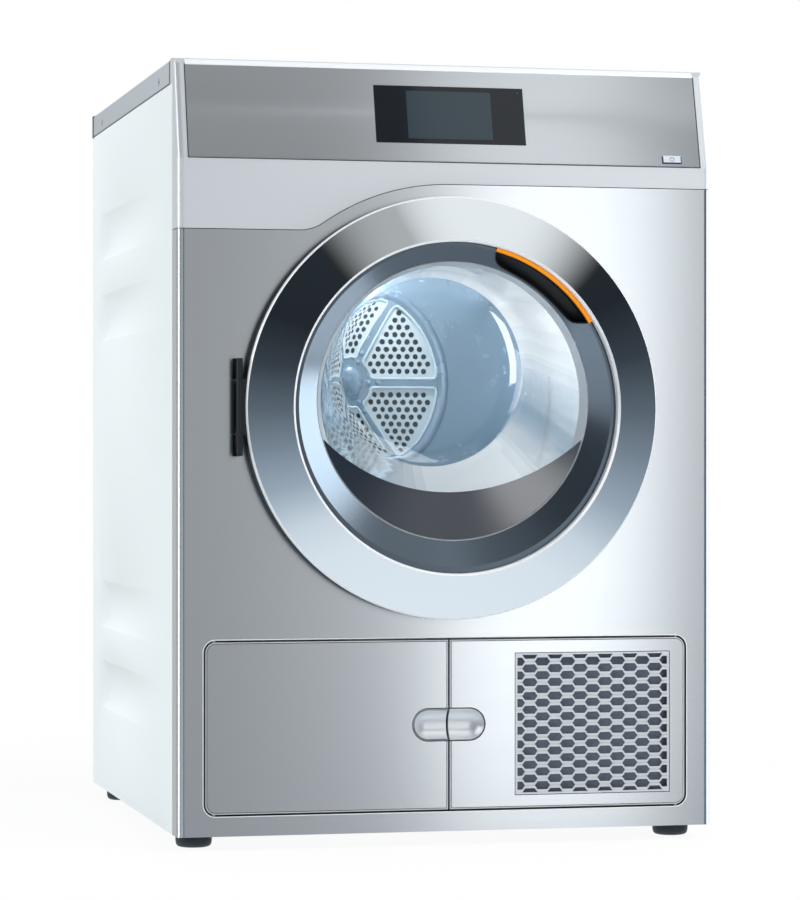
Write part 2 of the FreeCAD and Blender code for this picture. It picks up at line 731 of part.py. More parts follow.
def make_rear_panel():
    z = (d.foot_height, lid_z - d.play)
    panel = plate("rear_panel_blank", (-side, side), z, back - d.sheet, d.sheet)
    hole = rod("rear_panel_hole", "y", (0, back - d.sheet, drum_height), d.cover_radius, d.sheet)
    vents = [block(f"rear_vent_{n}", (d.vent_left, d.vent_left + d.vent_width), (back - d.sheet, back),
                   (d.vent_low + n * d.vent_step, d.vent_low + n * d.vent_step + d.vent_height))
             for n in range(VENT_COUNT)]
    ports = [rod("gland_hole", "y", (gland_x, back - d.sheet, gland_z), d.gland_bore + d.sheet, d.sheet),
             rod("spigot_hole", "y", (spigot_x, back - d.sheet, spigot_z), d.spigot_bore + d.sheet, d.sheet)]
    keep(cut("rear_panel", panel, hole, *vents, *ports))


def make_rear_cover():
    rim = d.cover_radius + d.cover_rim
    crown = back + d.cover_bulge
    inner = d.cover_radius - d.cover_rim
    keep(turned("rear_cover", (
        (0, crown), (inner, crown), (d.cover_radius, back), (rim, back), (rim, back + d.sheet),
        (d.cover_radius + d.sheet, back + d.sheet), (inner + d.sheet, crown + d.sheet), (0, crown + d.sheet),
    ), z=drum_height))


def make_rear_connections():
    gland = tube("cable_gland", "y", (gland_x, back, gland_z), d.gland_radius, d.gland_bore, d.gland_proud)
    spigot = tube("drain_spigot", "y", (spigot_x, back, spigot_z), d.spigot_radius, d.spigot_bore,
                  d.spigot_proud)
    keep(group("rear_connections", gland, spigot))


def lid_screw_places():
    z = d.case_height - d.lid_screw_down
    for y in (front + d.lid_screw_front, rear - d.lid_screw_back):
        for sign in (-1, 1):
            yield sign, y, z


def make_top_lid():
    y = (front + d.lid_front, rear - d.lid_trim)
    body = new_body("lid_blank")
    sketch = sketch_on(body, "XY_Plane", lid_z)
    outline(sketch, ((-side, y[0]), (side, y[0]), (side, y[1]), (-side, y[1])))
    pad = add_pad(body, sketch, d.lid_height)
    top = float(d.case_height) - 1e-3
    reach = float(side) - 1e-3
    add_fillet(body, pad, d.lid_edge,
               lambda edge: edge.BoundBox.ZMin > top and abs(edge.BoundBox.Center.x) > reach)
    hollow = block("lid_hollow", (d.lid_wall - side, side - d.lid_wall),
                   (y[0] + d.lid_wall, y[1] - d.lid_wall), (lid_z, d.case_height - d.lid_edge))
    holes = [rod(f"lid_screw_hole_{n}", "x", (sign * side - d.lid_wall * 2, y, z), d.screw_head + d.play,
                 d.lid_wall * 4) for n, (sign, y, z) in enumerate(lid_screw_places())]
    keep(cut("top_lid", body, hollow, *holes))


def make_lid_trim():
    y = (rear - d.lid_trim, rear)
    body = new_body("lid_rear_trim")
    sketch = sketch_on(body, "XY_Plane", lid_z)
    outline(sketch, ((-side, y[0]), (side, y[0]), (side, y[1]), (-side, y[1])))
    pad = add_pad(body, sketch, d.lid_height)
    back_edge = float(rear) - 1e-3
    add_fillet(body, pad, d.lid_edge, lambda edge: edge.BoundBox.YMin > back_edge)
    keep(body)


def make_casing_screws():
    screws = []
    for n, (sign, y, z) in enumerate(lid_screw_places()):
        screws.append(rod(f"lid_screw_{n}", "x", (sign * (side - d.lid_wall / 2) - d.lid_wall / 2, y, z),
                          d.screw_head, d.lid_wall))
    edge = side - d.rear_screw_edge
    for n, z in enumerate((tray_top, drum_height, lid_z - d.flange)):
        for sign in (-1, 1):
            screws.append(rod(f"rear_screw_{n}_{sign + 1}", "y", (sign * edge, back, z),
                              d.screw_head, d.lid_wall))
    ring = d.cover_radius + d.cover_rim / 2
    for n, (across, up) in enumerate(((-1, 0), (1, 0), (0, -1), (0, 1))):
        screws.append(rod(f"cover_screw_{n}", "y", (across * ring, back + d.sheet, drum_height + up * ring),
                          d.screw_head, d.lid_wall))
    keep(group("casing_screws", *screws))


# Front and fascia

def seam_region(label, drop):
    """Everything above the seam between front panel and fascia."""
    radius = float(seam_radius) - drop
    left = float(seam_left) - drop
    middle = float(door_height)
    hollow = float(d.seam_fillet)
    far = float(d.case_width)
    top = float(d.case_height) * 2
    y = float(front) - far
    rise = left + hollow - middle
    reach = radius + hollow
    centre_x = -math.sqrt(reach * reach - rise * rise)
    touch = Vector(centre_x * radius / reach, y, middle + rise * radius / reach)
    angle = math.atan2(rise, -centre_x)
    crown = (math.pi / 2 + angle) / 2
    arc_middle = Vector(-radius * math.cos(crown), y, middle + radius * math.sin(crown))
    turn = (-math.pi / 2 - angle) / 2
    hollow_middle = Vector(centre_x + hollow * math.cos(turn), y, left + hollow + hollow * math.sin(turn))
    start = Vector(centre_x, y, left)
    summit = Vector(0, y, middle + radius)
    corners = [Vector(far, y, middle + radius), Vector(far, y, top), Vector(-far, y, top),
               Vector(-far, y, left)]
    edges = [Part.LineSegment(corners[3], start), Part.Arc(start, hollow_middle, touch),
             Part.Arc(touch, arc_middle, summit), Part.LineSegment(summit, corners[0]),
             Part.LineSegment(corners[0], corners[1]), Part.LineSegment(corners[1], corners[2]),
             Part.LineSegment(corners[2], corners[3])]
    wire = Part.Wire([edge.toShape() for edge in edges])
    return shaped(label, Part.Face(wire).extrude(Vector(0, 2 * far, 0)))


def flap_opening():
    return (-flap_half, flap_half), (d.flap_bottom, flap_top)


def make_front_panel():
    body = new_body("front_panel_blank")
    sketch = sketch_on(body, "XY_Plane", d.foot_height)
    deep = front + d.return_depth
    outline(sketch, ((-side, front), (side, front), (side, deep), (inside, deep), (inside, front + d.sheet),
                     (-inside, front + d.sheet), (-inside, deep), (-side, deep)))
    pad = add_pad(body, sketch, door_height + seam_radius - d.foot_height)
    upright = runs_along("z")
    outer_y = float(front) + 1e-3
    outer = add_fillet(body, pad, d.edge_radius, lambda edge: upright(edge) and edge.BoundBox.YMax < outer_y)
    inner_y = float(front + d.sheet)
    add_fillet(body, outer, d.edge_radius - d.sheet,
               lambda edge: upright(edge) and abs(edge.BoundBox.YMax - inner_y) < 1e-3
               and edge.BoundBox.YLength < 1e-3)
    lip = block("front_lip", (d.edge_radius - side, side - d.edge_radius),
                (front + d.sheet / 2, front + d.bottom_lip), (d.foot_height, d.foot_height + d.sheet))
    x, z = flap_opening()
    middle = door_height
    tools = [
        seam_region("panel_seam", float(d.seam_gap)),
        rod("panel_aperture", "y", (0, front, middle), aperture_radius + d.collar_wall + d.panel_clear,
            d.return_depth),
        plate("panel_flaps", x, z, front - d.sheet, d.sheet * 3, d.flap_corner),
        block("panel_striker", (striker_x - d.striker_room, striker_x + d.striker_width + d.striker_room),
              (front, front + d.sheet),
              (middle - d.striker_height / 2 - d.striker_room,
               middle + d.striker_height / 2 + d.striker_room)),
    ]
    for sign in (-1, 1):
        low, high = hinge_leaf(sign)
        tools.append(block(f"panel_hinge_{sign + 1}", hinge_neck(d.play), (front, front + d.sheet),
                           (low - d.play, high + d.play)))
    keep(cut("front_panel", join("front_panel_body", body, lip), *tools))


def make_fascia():
    top_y = front + d.fascia_lean * (slope_rise - d.fascia_round) / slope_rise
    rear_y = front + d.lid_front - d.play
    side_y = front + d.return_depth
    high = d.case_height
    width = d.case_width
    body = new_body("fascia_blank")
    sketch = sketch_on(body, "YZ_Plane", -side)
    outline(sketch, ((front, seam_left), (front, fascia_split), (top_y, high - d.fascia_round),
                     (top_y + d.fascia_round, high), (rear_y, high), (rear_y, lid_z), (side_y, lid_z),
                     (side_y, seam_left)))
    pad = add_pad(body, sketch, width)
    limit = float(front + d.fascia_lean)
    reach = float(side) - 1e-3
    add_fillet(body, pad, d.edge_radius - d.play,
               lambda edge: abs(edge.BoundBox.Center.x) > reach and edge.BoundBox.XLength < 1e-3
               and edge.BoundBox.YMax < limit and edge.BoundBox.ZLength > float(d.fascia_round) * 2)
    hollow = new_body("fascia_hollow", d.fascia_wall * 2 - side)
    inner = sketch_on(hollow, "YZ_Plane")
    wall = d.fascia_wall
    outline(inner, ((front + wall, seam_left - wall), (front + wall, fascia_split),
                    (top_y + wall, high - d.fascia_round), (top_y + wall + d.fascia_round, high - wall),
                    (rear_y + wall, high - wall), (rear_y + wall, seam_left - wall)))
    add_pad(hollow, inner, width - d.fascia_wall * 4)
    half = side - d.plate_side
    recess = sloped_block("fascia_recess", (-half, half), (d.plate_edge - d.play, slope_run - d.fascia_round),
                          (-d.plate_steel, d.plate_steel))
    window = sloped_block("fascia_window", *display_area(d.play - d.display_rim),
                          (-d.plate_steel, d.display_module))
    glass_seat = sloped_block("fascia_glass", *display_area(d.play), (-d.plate_steel, d.display_glass))
    slot = sloped_block("fascia_slot", *button_area(d.play),
                        (-d.plate_steel, d.button_depth + d.fascia_wall * 2))
    region = seam_region("fascia_seam", 0)
    keep(cut("control_fascia", common("fascia_body", body, region), hollow, recess, window, glass_seat, slot))


def display_area(grow):
    return ((d.display_left - grow, d.display_left + d.display_width + grow),
            (d.display_low - grow, d.display_low + d.display_height + grow))


def button_area(grow):
    return ((button_left - grow, button_left + d.button_width + grow),
            (d.button_low - grow, d.button_low + d.button_height + grow))


def make_fascia_plate():
    half = side - d.plate_side - d.play
    blank = sloped_block("plate_blank", (-half, half), (d.plate_edge, slope_run - d.fascia_round - d.play),
                         (0, d.plate_steel))
    window = sloped_block("plate_window", *display_area(d.play), (-d.plate_steel, d.plate_steel * 2))
    slot = sloped_block("plate_slot", *button_area(d.play), (-d.plate_steel, d.plate_steel * 2))
    keep(cut("fascia_plate", blank, window, slot))


def make_display():
    glass = sloped_block("display_pane", *display_area(0), (-d.display_proud, d.display_glass))
    x, along = display_area(-d.display_rim)
    module = sloped_block("display_back", x, along, (d.display_glass, d.display_module))
    keep(join("display", glass, module))


def make_power_button():
    keep(sloped_block("power_button", *button_area(0), (-d.button_proud, d.button_depth)))


def make_control_unit():
    high = bulkhead_top
    keep(block("control_unit", (control_left, control_left + d.control_width),
               (bulkhead_y - d.control_depth, bulkhead_y), (high - d.control_height, high)))


# Service flaps

def half_stadium(label, sign, grow, y):
    """The finger recess of one flap, open at the split."""
    radius = d.grip_height / 2
    centre_x = sign * (d.grip_length - radius)
    low, high = d.grip_middle - radius - grow, d.grip_middle + radius + grow
    straight = block(f"{label}_bar", (sign * d.flap_gap / 2, centre_x), y, (low, high))
    end = rod(f"{label}_end", "y", (centre_x, y[0], d.grip_middle), radius + grow, y[1] - y[0])
    return join(label, straight, end)


def flap_pin_place(sign):
    return sign * (flap_half - d.flap_pin_side), front + d.flap_pin_set


def make_flap(label, sign, windows):
    (_, half), (low, high) = flap_opening()
    gap = d.flap_gap
    outer_x = sign * (half - gap)
    split_x = sign * gap / 2
    x = sorted((outer_x, split_x), key=float)
    z = (low + gap, high - gap)
    deep = front + d.flap_depth
    corner = d.flap_corner - gap
    full_x = sorted((outer_x, -outer_x), key=float)
    panel = common(f"{label}_panel", plate(f"{label}_blank", full_x, z, front, d.flap_depth, corner),
                   block(f"{label}_half", x, (front, deep), z))
    hollow = block(f"{label}_hollow", (x[0] + d.sheet, x[1] - d.sheet), (front + d.sheet, deep + d.sheet),
                   (z[0] + d.sheet, z[1] - d.sheet))
    corner_cut = common(f"{label}_inner", hollow,
                        plate(f"{label}_inner_blank", (full_x[0] + d.sheet, full_x[1] - d.sheet),
                              (z[0] + d.sheet, z[1] - d.sheet), front, d.flap_depth + d.sheet * 2,
                              corner - d.sheet))
    pin_x, pin_y = flap_pin_place(sign)
    pins = []
    for n, (z_end, z_start) in enumerate(((z[0], z[0] - d.flap_pin_length), (z[1], z[1]))):
        inner_z = z_end + d.flap_block * (1 if n == 0 else -1)
        corner_block = block(f"{label}_corner_{n}", (outer_x, outer_x - sign * d.flap_block), (front, deep),
                             (z_end, inner_z))
        pins.append(common(f"{label}_lug_{n}", corner_block, panel))
        pins.append(rod(f"{label}_pin_{n}", "z", (pin_x, pin_y, z_start - (d.sheet if n else 0)),
                        d.flap_pin_radius, d.flap_pin_length + d.sheet))
    cup = half_stadium(f"{label}_cup", sign, d.sheet, (front, front + d.grip_depth + d.sheet))
    scoop = half_stadium(f"{label}_scoop", sign, 0, (front - d.sheet, front + d.grip_depth))
    shell = join(f"{label}_shell", cut(f"{label}_tray", panel, corner_cut), cup, *pins)
    keep(cut(label, shell, scoop, *windows))


def make_flap_frame():
    x, z = flap_opening()
    rim = d.flap_rim
    y = front + d.sheet
    deep = d.flap_depth
    outer = plate("flap_frame_blank", (x[0] - rim, x[1] + rim), (z[0] - rim, z[1] + rim), y, deep,
                  d.flap_corner + rim)
    inner = plate("flap_frame_hole", x, z, y - d.sheet, deep + d.sheet * 2, d.flap_corner)
    holes = []
    for sign in (-1, 1):
        pin_x, pin_y = flap_pin_place(sign)
        holes.append(rod(f"flap_pivot_{sign + 1}", "z", (pin_x, pin_y, z[0] - rim),
                         d.flap_pin_radius + d.running, z[1] - z[0] + rim * 2))
    keep(cut("flap_frame", outer, inner, *holes))


def hexagon(x, y, z):
    wide, tall = float(d.cell_wide) / 2, float(d.cell_tall) / 2
    shoulder = wide - tall / math.sqrt(3)
    corners = [(wide, 0), (shoulder, tall), (-shoulder, tall), (-wide, 0), (-shoulder, -tall),
               (shoulder, -tall)]
    ring = [Vector(x + u, y, z + v) for u, v in corners]
    return Part.makePolygon(ring + ring[:1])


def grille_cells(y):
    """Hexagon outlines in staggered rows that stay clear of the grille's edge."""
    half_x = float(d.grille_width - d.cell_wide) / 2 - float(d.grille_rim)
    half_z = float(d.grille_height - d.cell_tall) / 2 - float(d.grille_rim)
    middle_x = float(grille_left + d.grille_width / 2)
    middle_z = float(d.grille_bottom + d.grille_height / 2)
    step_x, step_z = float(d.cell_step_x), float(d.cell_step_z) / 2
    rows = int(half_z / step_z)
    columns = int(half_x / step_x) + 1
    for row in range(-rows, rows + 1):
        for column in range(-columns, columns + 1):
            x = (column + (row % 2) / 2) * step_x
            if abs(x) <= half_x:
                yield hexagon(middle_x + x, y, middle_z + row * step_z)


def make_grille():
    x = (grille_left, grille_left + d.grille_width)
    z = (d.grille_bottom, d.grille_bottom + d.grille_height)
    rim, wall, play = d.grille_rim, d.grille_wall, d.play
    seat = front + d.sheet
    boss = block("grille_boss", (x[0] + play, x[1] - play), (front + play, seat + wall),
                 (z[0] + play, z[1] - play))
    flange = block("grille_flange", (x[0] - rim, x[1] + rim), (seat, seat + wall), (z[0] - rim, z[1] + rim))
    y = float(front)
    cells = [Part.Face(cell).extrude(Vector(0, float(d.sheet + wall) * 2, 0)) for cell in grille_cells(y)]
    openings = shaped("grille_cells", Part.makeCompound(cells))
    keep(cut("vent_grille", join("grille_body", boss, flange), openings))


def grille_window():
    return block("grille_window", (grille_left, grille_left + d.grille_width), (front, front + d.sheet),
                 (d.grille_bottom, d.grille_bottom + d.grille_height))


# Door

def ring_face(radius):
    """Depth of the outer ring's slanted face at a radius."""
    slope = (d.door_proud - d.door_edge) / (door_radius - ring_inner - d.ring_chamfer)
    return front - d.door_edge - (door_radius - radius) * slope


def make_outer_ring():
    wall = d.ring_wall
    edge_y, crown = front - d.door_edge, front - d.door_proud
    inner, outer = ring_inner, door_radius
    lip = edge_y + d.ring_lip
    inside_y = crown + d.ring_depth
    keep(turned("door_outer_ring", (
        (outer, edge_y), (inner + d.ring_chamfer, crown), (inner, crown + d.ring_chamfer), (inner, inside_y),
        (inner + wall, inside_y), (inner + wall, crown + d.ring_chamfer + wall),
        (outer - wall, ring_face(outer - wall) + wall + wall / 2), (outer - wall, lip), (outer, lip),
    ), z=door_height))


def cone_sections(shift, grow):
    """Circles of the inner ring's eccentric cone, moved back by a shift."""
    return ((front - d.cone_start + shift, door_height, ring_inner - d.play + grow),
            (front - d.opening_set + shift, opening_z, opening_radius + grow))


def make_inner_ring():
    outside = oblique("inner_ring_outside", cone_sections(d.cone_wall, 0))
    inside_cone = oblique("inner_ring_inside", cone_sections(0, 0))
    hole = rod("inner_ring_hole", "y", (0, front - d.door_proud, opening_z), opening_radius, d.door_proud)
    low, high = front - d.door_proud, front
    inner, outer = handle_inner + d.handle_wall, ring_inner + d.ring_wall
    opening = turned("handle_opening", ((inner, low), (outer, low), (outer, high), (inner, high)),
                     z=door_height, sweep=d.handle_sweep)
    face_handle(opening)
    keep(cut("door_inner_ring", outside, inside_cone, hole, opening))


def face_handle(body):
    body.Placement = Placement(Vector(), Rotation(Vector(0, -1, 0), 10))
    bind(body, "Placement.Rotation.Angle", (90 - d.handle_clock))
    place(body, 0, 0, door_height)


def make_handle_pocket():
    wall = d.handle_wall
    floor = front - d.handle_floor
    lip = front - d.handle_lip
    inner, outer = handle_inner, handle_outer
    mouth = ring_inner - d.play * 2
    nearest = opening_radius + d.opening_rise
    slope = (d.cone_start - d.opening_set) / (ring_inner - nearest)
    rim = front - d.opening_set + d.cone_wall + d.play - (inner - nearest) * slope
    body = turned("handle_pocket", (
        (inner, rim), (inner, floor), (outer, floor), (outer, lip), (mouth, lip), (mouth, lip + wall),
        (outer - wall, lip + wall), (outer - wall, floor - wall), (inner + wall, floor - wall),
        (inner + wall, rim),
    ), z=door_height, sweep=d.handle_sweep)
    face_handle(body)
    keep(body)


def make_handle_accent():
    outer = ring_inner - d.play * 2
    lip = front - d.handle_lip
    body = turned("handle_accent", ((outer - d.accent_width, lip), (outer, lip), (outer, front - d.cone_start),
                                    (outer - d.accent_width, front - d.cone_start)),
                  z=door_height, sweep=d.handle_sweep - 1)
    face_handle(body)
    keep(body)


def make_door_frame():
    wall = d.frame_wall
    back_y = front - d.door_stand
    front_y = front - d.door_edge + d.ring_lip
    outer = door_radius - d.play
    body = turned("door_frame_ring", (
        (outer, front_y), (outer - d.frame_taper, back_y), (frame_inner, back_y), (frame_inner, back_y - wall),
        (outer - d.frame_taper - wall, back_y - wall), (outer - wall, front_y),
    ), z=door_height)
    half = d.hinge_height / 2 - d.hinge_leaf
    notch = block("door_frame_notch", (hinge_x, d.hinge_arm + hinge_x), (front_y - wall, back_y - wall),
                  (door_height - half, door_height + half))
    keep(cut("door_back_frame", body, notch))


def bowl_sections(shrink):
    """Circles of the glass bowl, from its rim at the door's front to its end in the drum."""
    rim = front - d.opening_set + d.cone_wall
    return ((rim, opening_z, bowl_mouth - shrink),
            (front + d.bowl_shoulder_depth, opening_z + d.bowl_rise, bowl_shoulder - shrink),
            (front + d.bowl_end_depth - shrink, opening_z + d.bowl_rise, bowl_end - shrink / 2))


def make_door_glass():
    keep(cut("door_glass", oblique("bowl_outside", bowl_sections(as_size(0))),
             oblique("bowl_inside", bowl_sections(d.bowl_wall))))


def make_chin():
    outer = bowl_mouth - d.bowl_wall - d.play
    start = front - d.opening_set + d.play
    body = turned("chin_cone", (
        (outer, start), (chin_inner, start + d.chin_rise), (chin_inner, start + d.chin_rise + d.chin_wall),
        (outer, start + d.chin_wall),
    ), z=opening_z)
    low = opening_z - opening_radius + d.chin_top
    arc = rod("chin_arc", "y", (0, front - d.door_proud, low + d.chin_arc), d.chin_arc, d.door_proud * 2)
    keep(cut("door_chin", body, arc))


def make_door_seal():
    keep(turned("door_seal", (
        (seal_radius - d.seal_width, front - d.door_stand), (seal_radius, front - d.door_stand),
        (seal_radius, front - d.play), (seal_radius - d.seal_width, front - d.play),
    ), z=door_height))


def make_striker():
    z = door_height
    half = d.striker_height / 2
    x = (striker_x, striker_x + d.striker_width)
    bar = block("striker_bar", x, (front - d.door_stand, front + d.striker_length), (z - half, z + half))
    eye = block("striker_eye", x, (front + d.striker_length / 2, front + d.striker_length - d.striker_room),
                (z - half / 2, z + half / 2))
    keep(cut("door_striker", bar, eye))


def make_door_lock():
    z = door_height
    room = d.striker_room
    wall = d.lock_wall
    half = d.striker_height / 2 + room
    x = (striker_x - room, striker_x + d.striker_width + room)
    y = front + d.sheet
    deep = front + d.striker_length + room
    case = block("lock_case", (x[0] - wall, x[1] + wall), (y, deep + wall), (z - half - wall, z + half + wall))
    hollow = block("lock_hollow", x, (y, deep), (z - half, z + half))
    keep(cut("door_lock", case, hollow))


# Hinge

def hinge_leaf(sign):
    """Lower and upper end of a fixed knuckle."""
    end = door_height + sign * d.hinge_height / 2
    return sorted((end, end - sign * d.hinge_leaf), key=float)


def hinge_neck(grow):
    half = d.knuckle_radius - d.ring_wall / 2 + grow
    return hinge_x - half, hinge_x + half


def make_hinge_bracket():
    y_back = front + d.sheet
    parts = [block("hinge_base", (hinge_x - d.hinge_reach, hinge_x + d.hinge_reach),
                   (y_back, y_back + d.hinge_plate),
                   (door_height - d.hinge_height / 2, door_height + d.hinge_height / 2))]
    for sign in (-1, 1):
        low, high = hinge_leaf(sign)
        parts.append(rod(f"hinge_knuckle_{sign + 1}", "z", (hinge_x, hinge_y, low), d.knuckle_radius,
                         high - low))
        parts.append(block(f"hinge_neck_{sign + 1}", hinge_neck(0), (hinge_y, y_back), (low, high)))
    bore = rod("hinge_bore", "z", (hinge_x, hinge_y, door_height - d.hinge_height / 2),
               d.hinge_pin + d.running / 2, d.hinge_height)
    keep(cut("hinge_bracket", join("hinge_body", *parts), bore))


def make_hinge_pin():
    start = (hinge_x, hinge_y, door_height - d.hinge_height / 2)
    keep(rod("hinge_pin", "z", start, d.hinge_pin, d.hinge_height))


def make_hinge_arm():
    half = d.hinge_height / 2 - d.hinge_leaf - d.play
    z = (door_height - half, door_height + half)
    back_y = front - d.door_stand - d.frame_wall
    knuckle = rod("arm_knuckle", "z", (hinge_x, hinge_y, z[0]), d.knuckle_radius, z[1] - z[0])
    arm = block("arm_plate", (hinge_x, hinge_x + d.hinge_arm),
                (front - d.door_edge + d.ring_lip + d.play, back_y), z)
    bore = rod("arm_bore", "z", (hinge_x, hinge_y, z[0]), d.hinge_pin + d.running, z[1] - z[0])
    keep(cut("door_hinge_arm", join("arm_body", knuckle, arm), bore))


# Drum and its support

def make_front_bulkhead():
    z = (d.bulkhead_low, bulkhead_top)
    collar_y = front + d.collar_front
    outer = aperture_radius + d.collar_wall
    panel = plate("bulkhead_blank", (-bulkhead_half, bulkhead_half), z, bulkhead_y, d.bulkhead_wall)
    collar = rod("aperture_collar", "y", (0, collar_y, door_height), outer, bulkhead_back - collar_y)
    ring_outer = drum_mouth - d.play - d.felt
    ring = tube("drum_ring", "y", (0, bulkhead_y, drum_height), ring_outer, ring_outer - d.collar_wall,
                d.drum_ring)
    axles = [rod(f"roller_axle_{sign + 1}", "y", (x, bulkhead_y, z), d.axle_radius,
                 d.roller_set - d.bulkhead_set + d.roller_width)
             for sign, x, z in roller_places()]
    hole = rod("aperture", "y", (0, collar_y, door_height), aperture_radius, d.drum_front)
    slot_half = d.filter_half + d.play
    y_low = front + d.filter_front - d.play
    slot = block("filter_slot", (-slot_half, slot_half), (y_low, y_low + d.filter_thick + d.play * 2),
                 (d.bulkhead_low, door_height))
    body = cut("bulkhead_body", join("bulkhead_solid", panel, collar), hole, slot)
    keep(join("front_bulkhead", body, ring, *axles, *filter_duct()))


def make_lint_filter():
    y = (front + d.filter_front, front + d.filter_front + d.filter_thick)
    half = d.filter_half
    low = d.filter_low
    wall = d.filter_wall
    blank = block("filter_blank", (-half, half), y, (low, door_height))
    arc = rod("filter_arc", "y", (0, y[0], door_height), aperture_radius, d.filter_thick)
    window = block("filter_window", (wall - half, half - wall), (y[0] + wall, y[1] - wall),
                   (low + wall, door_height - aperture_radius - wall))
    screen = block("filter_screen", (wall * 2 - half, half - wall * 2), y,
                   (low + wall * 2, door_height - aperture_radius - wall * 2))
    keep(cut("lint_filter", blank, arc, window, screen))


def filter_duct():
    """Guides that carry the lint filter and lead the air down to the heat pump."""
    half = d.filter_half + d.play
    wall = d.duct_wall
    y = (front + d.filter_front - d.play, bulkhead_y)
    top = door_height - aperture_radius - d.collar_wall - d.play
    z = (d.cover_top, top)
    shell = block("duct_blank", (-half - wall, half + wall), (y[0] - wall, y[1]), z)
    hollow = block("duct_hollow", (-half, half), y, z)
    ledge = block("duct_ledge", (-half, half), (y[0], y[0] + d.filter_wall),
                  (d.filter_low - wall, d.filter_low))
    return cut("duct_shell", shell, hollow), ledge


def make_drum_lamp():
    half = d.lamp_width / 2
    reach = root(aperture_radius * aperture_radius - half * half)
    top = door_height + reach - d.play
    y = (bulkhead_y - d.lamp_width / 2, bulkhead_back)
    keep(block("drum_lamp", (-half, half), y, (top - d.lamp_height, top)))


def make_felt():
    inner = drum_mouth - d.play - d.felt
    keep(tube("drum_felt", "y", (0, drum_y - d.felt, drum_height), drum_mouth - d.play, inner + d.play / 10,
              d.felt * 3))


def make_drum_shell():
    outer, mouth, wall, bevel = drum_radius, drum_mouth, d.drum_wall, d.drum_bevel
    keep(turned("drum_shell", (
        (mouth, drum_y), (outer - bevel, drum_y), (outer, drum_y + bevel), (outer, drum_back),
        (outer - wall, drum_back), (outer - wall, drum_y + bevel + wall / 2),
        (outer - bevel - wall / 2, drum_y + wall), (mouth, drum_y + wall),
    ), z=drum_height))


def wall_holes():
    """Centres of the holes in the drum's rear wall, in six sectors on a staggered grid."""
    step = float(d.hole_step)
    inner, outer = float(d.holes_inner), float(d.holes_outer)
    spoke = float(d.spoke_half)
    rows = int(outer / step * 2 / math.sqrt(3)) + 1
    columns = int(outer / step) + 1
    sector = 2 * math.pi / SECTOR_COUNT
    for row in range(-rows, rows + 1):
        for column in range(-columns, columns + 1):
            x = (column + (row % 2) / 2) * step
            z = row * step * math.sqrt(3) / 2
            radius = math.hypot(x, z)
            turn = math.atan2(z, x) % sector
            clear = radius * math.sin(min(turn, sector - turn))
            if inner <= radius <= outer and clear >= spoke:
                yield x, z


def make_drum_wall():
    y = float(drum_back - d.wall_set)
    middle = float(drum_height)
    across = Vector(0, 1, 0)
    rim = Part.Wire(Part.makeCircle(float(drum_inside - d.play), Vector(0, y, middle), across))
    bore = Part.Wire(Part.makeCircle(float(d.spindle_radius + d.running), Vector(0, y, middle), across))
    rings = [Part.Wire(Part.makeCircle(float(d.hole_radius), Vector(x, y, middle + z), across))
             for x, z in wall_holes()]
    face = Part.Face([rim, bore] + rings, "Part::FaceMakerBullseye")
    keep(shaped("drum_rear_wall", face.extrude(Vector(0, float(d.wall_steel), 0))))


def make_lifters():
    """Three ribs on the drum's inner wall."""
    base, crown = float(d.lifter_base) / 2, float(d.lifter_crown) / 2
    seat = math.sqrt(float(drum_inside) ** 2 - base ** 2) - float(d.play)
    top = seat - float(d.lifter_height)
    y = float(drum_y + d.drum_bevel + d.lifter_end)
    length = float(drum_back - drum_y - d.drum_bevel - d.lifter_end * 2)
    middle = float(drum_height)
    corners = [Vector(-base, y, middle + seat), Vector(base, y, middle + seat), Vector(crown, y, middle + top),
               Vector(-crown, y, middle + top)]
    rib = Part.Face(Part.makePolygon(corners + corners[:1])).extrude(Vector(0, length, 0))
    ribs = []
    for number in range(LIFTER_COUNT):
        copy = rib.copy()
        copy.rotate(Vector(0, 0, middle), Vector(0, 1, 0), (number + 0.5) * 360 / LIFTER_COUNT)
        ribs.append(copy)
    keep(shaped("drum_lifters", Part.makeCompound(ribs)))


def make_spindle():
    start = drum_back - d.wall_set + d.wall_steel
    plate_end = start + d.spindle_plate
    end = rear_bulkhead_y + d.bearing_length
    keep(turned("drum_spindle", (
        (0, start), (d.spindle_flange, start), (d.spindle_flange, plate_end), (d.spindle_radius, plate_end),
        (d.spindle_radius, end), (0, end),
    ), z=drum_height))


def make_rear_bulkhead():
    z = (d.bulkhead_low, bulkhead_top)
    panel = plate("rear_bulkhead_blank", (-bulkhead_half, bulkhead_half), z, rear_bulkhead_y, d.bulkhead_wall)
    holes = [rod("bearing_seat", "y", (0, rear_bulkhead_y, drum_height), d.bearing_radius, d.bulkhead_wall)]
    for n in range(PORT_COUNT):
        angle = 2 * math.pi * n / PORT_COUNT
        holes.append(rod(f"air_port_{n}", "y", (d.port_ring * math.cos(angle), rear_bulkhead_y,
                                                drum_height + d.port_ring * math.sin(angle)),
                         d.port_radius, d.bulkhead_wall))
    keep(cut("rear_bulkhead", panel, *holes))


def make_rear_bearing():
    bore = d.spindle_radius + d.running
    outer = d.bearing_radius - d.running
    lip = outer + d.spindle_plate
    end = rear_bulkhead_y + d.bearing_length
    flange_end = rear_bulkhead_back + d.spindle_plate
    keep(turned("rear_bearing", (
        (bore, rear_bulkhead_y), (outer, rear_bulkhead_y), (outer, rear_bulkhead_back),
        (lip, rear_bulkhead_back), (lip, flange_end), (outer, flange_end), (outer, end), (bore, end),
    ), z=drum_height))


def duct_back():
    return back - d.sheet - d.tray_wall - d.play


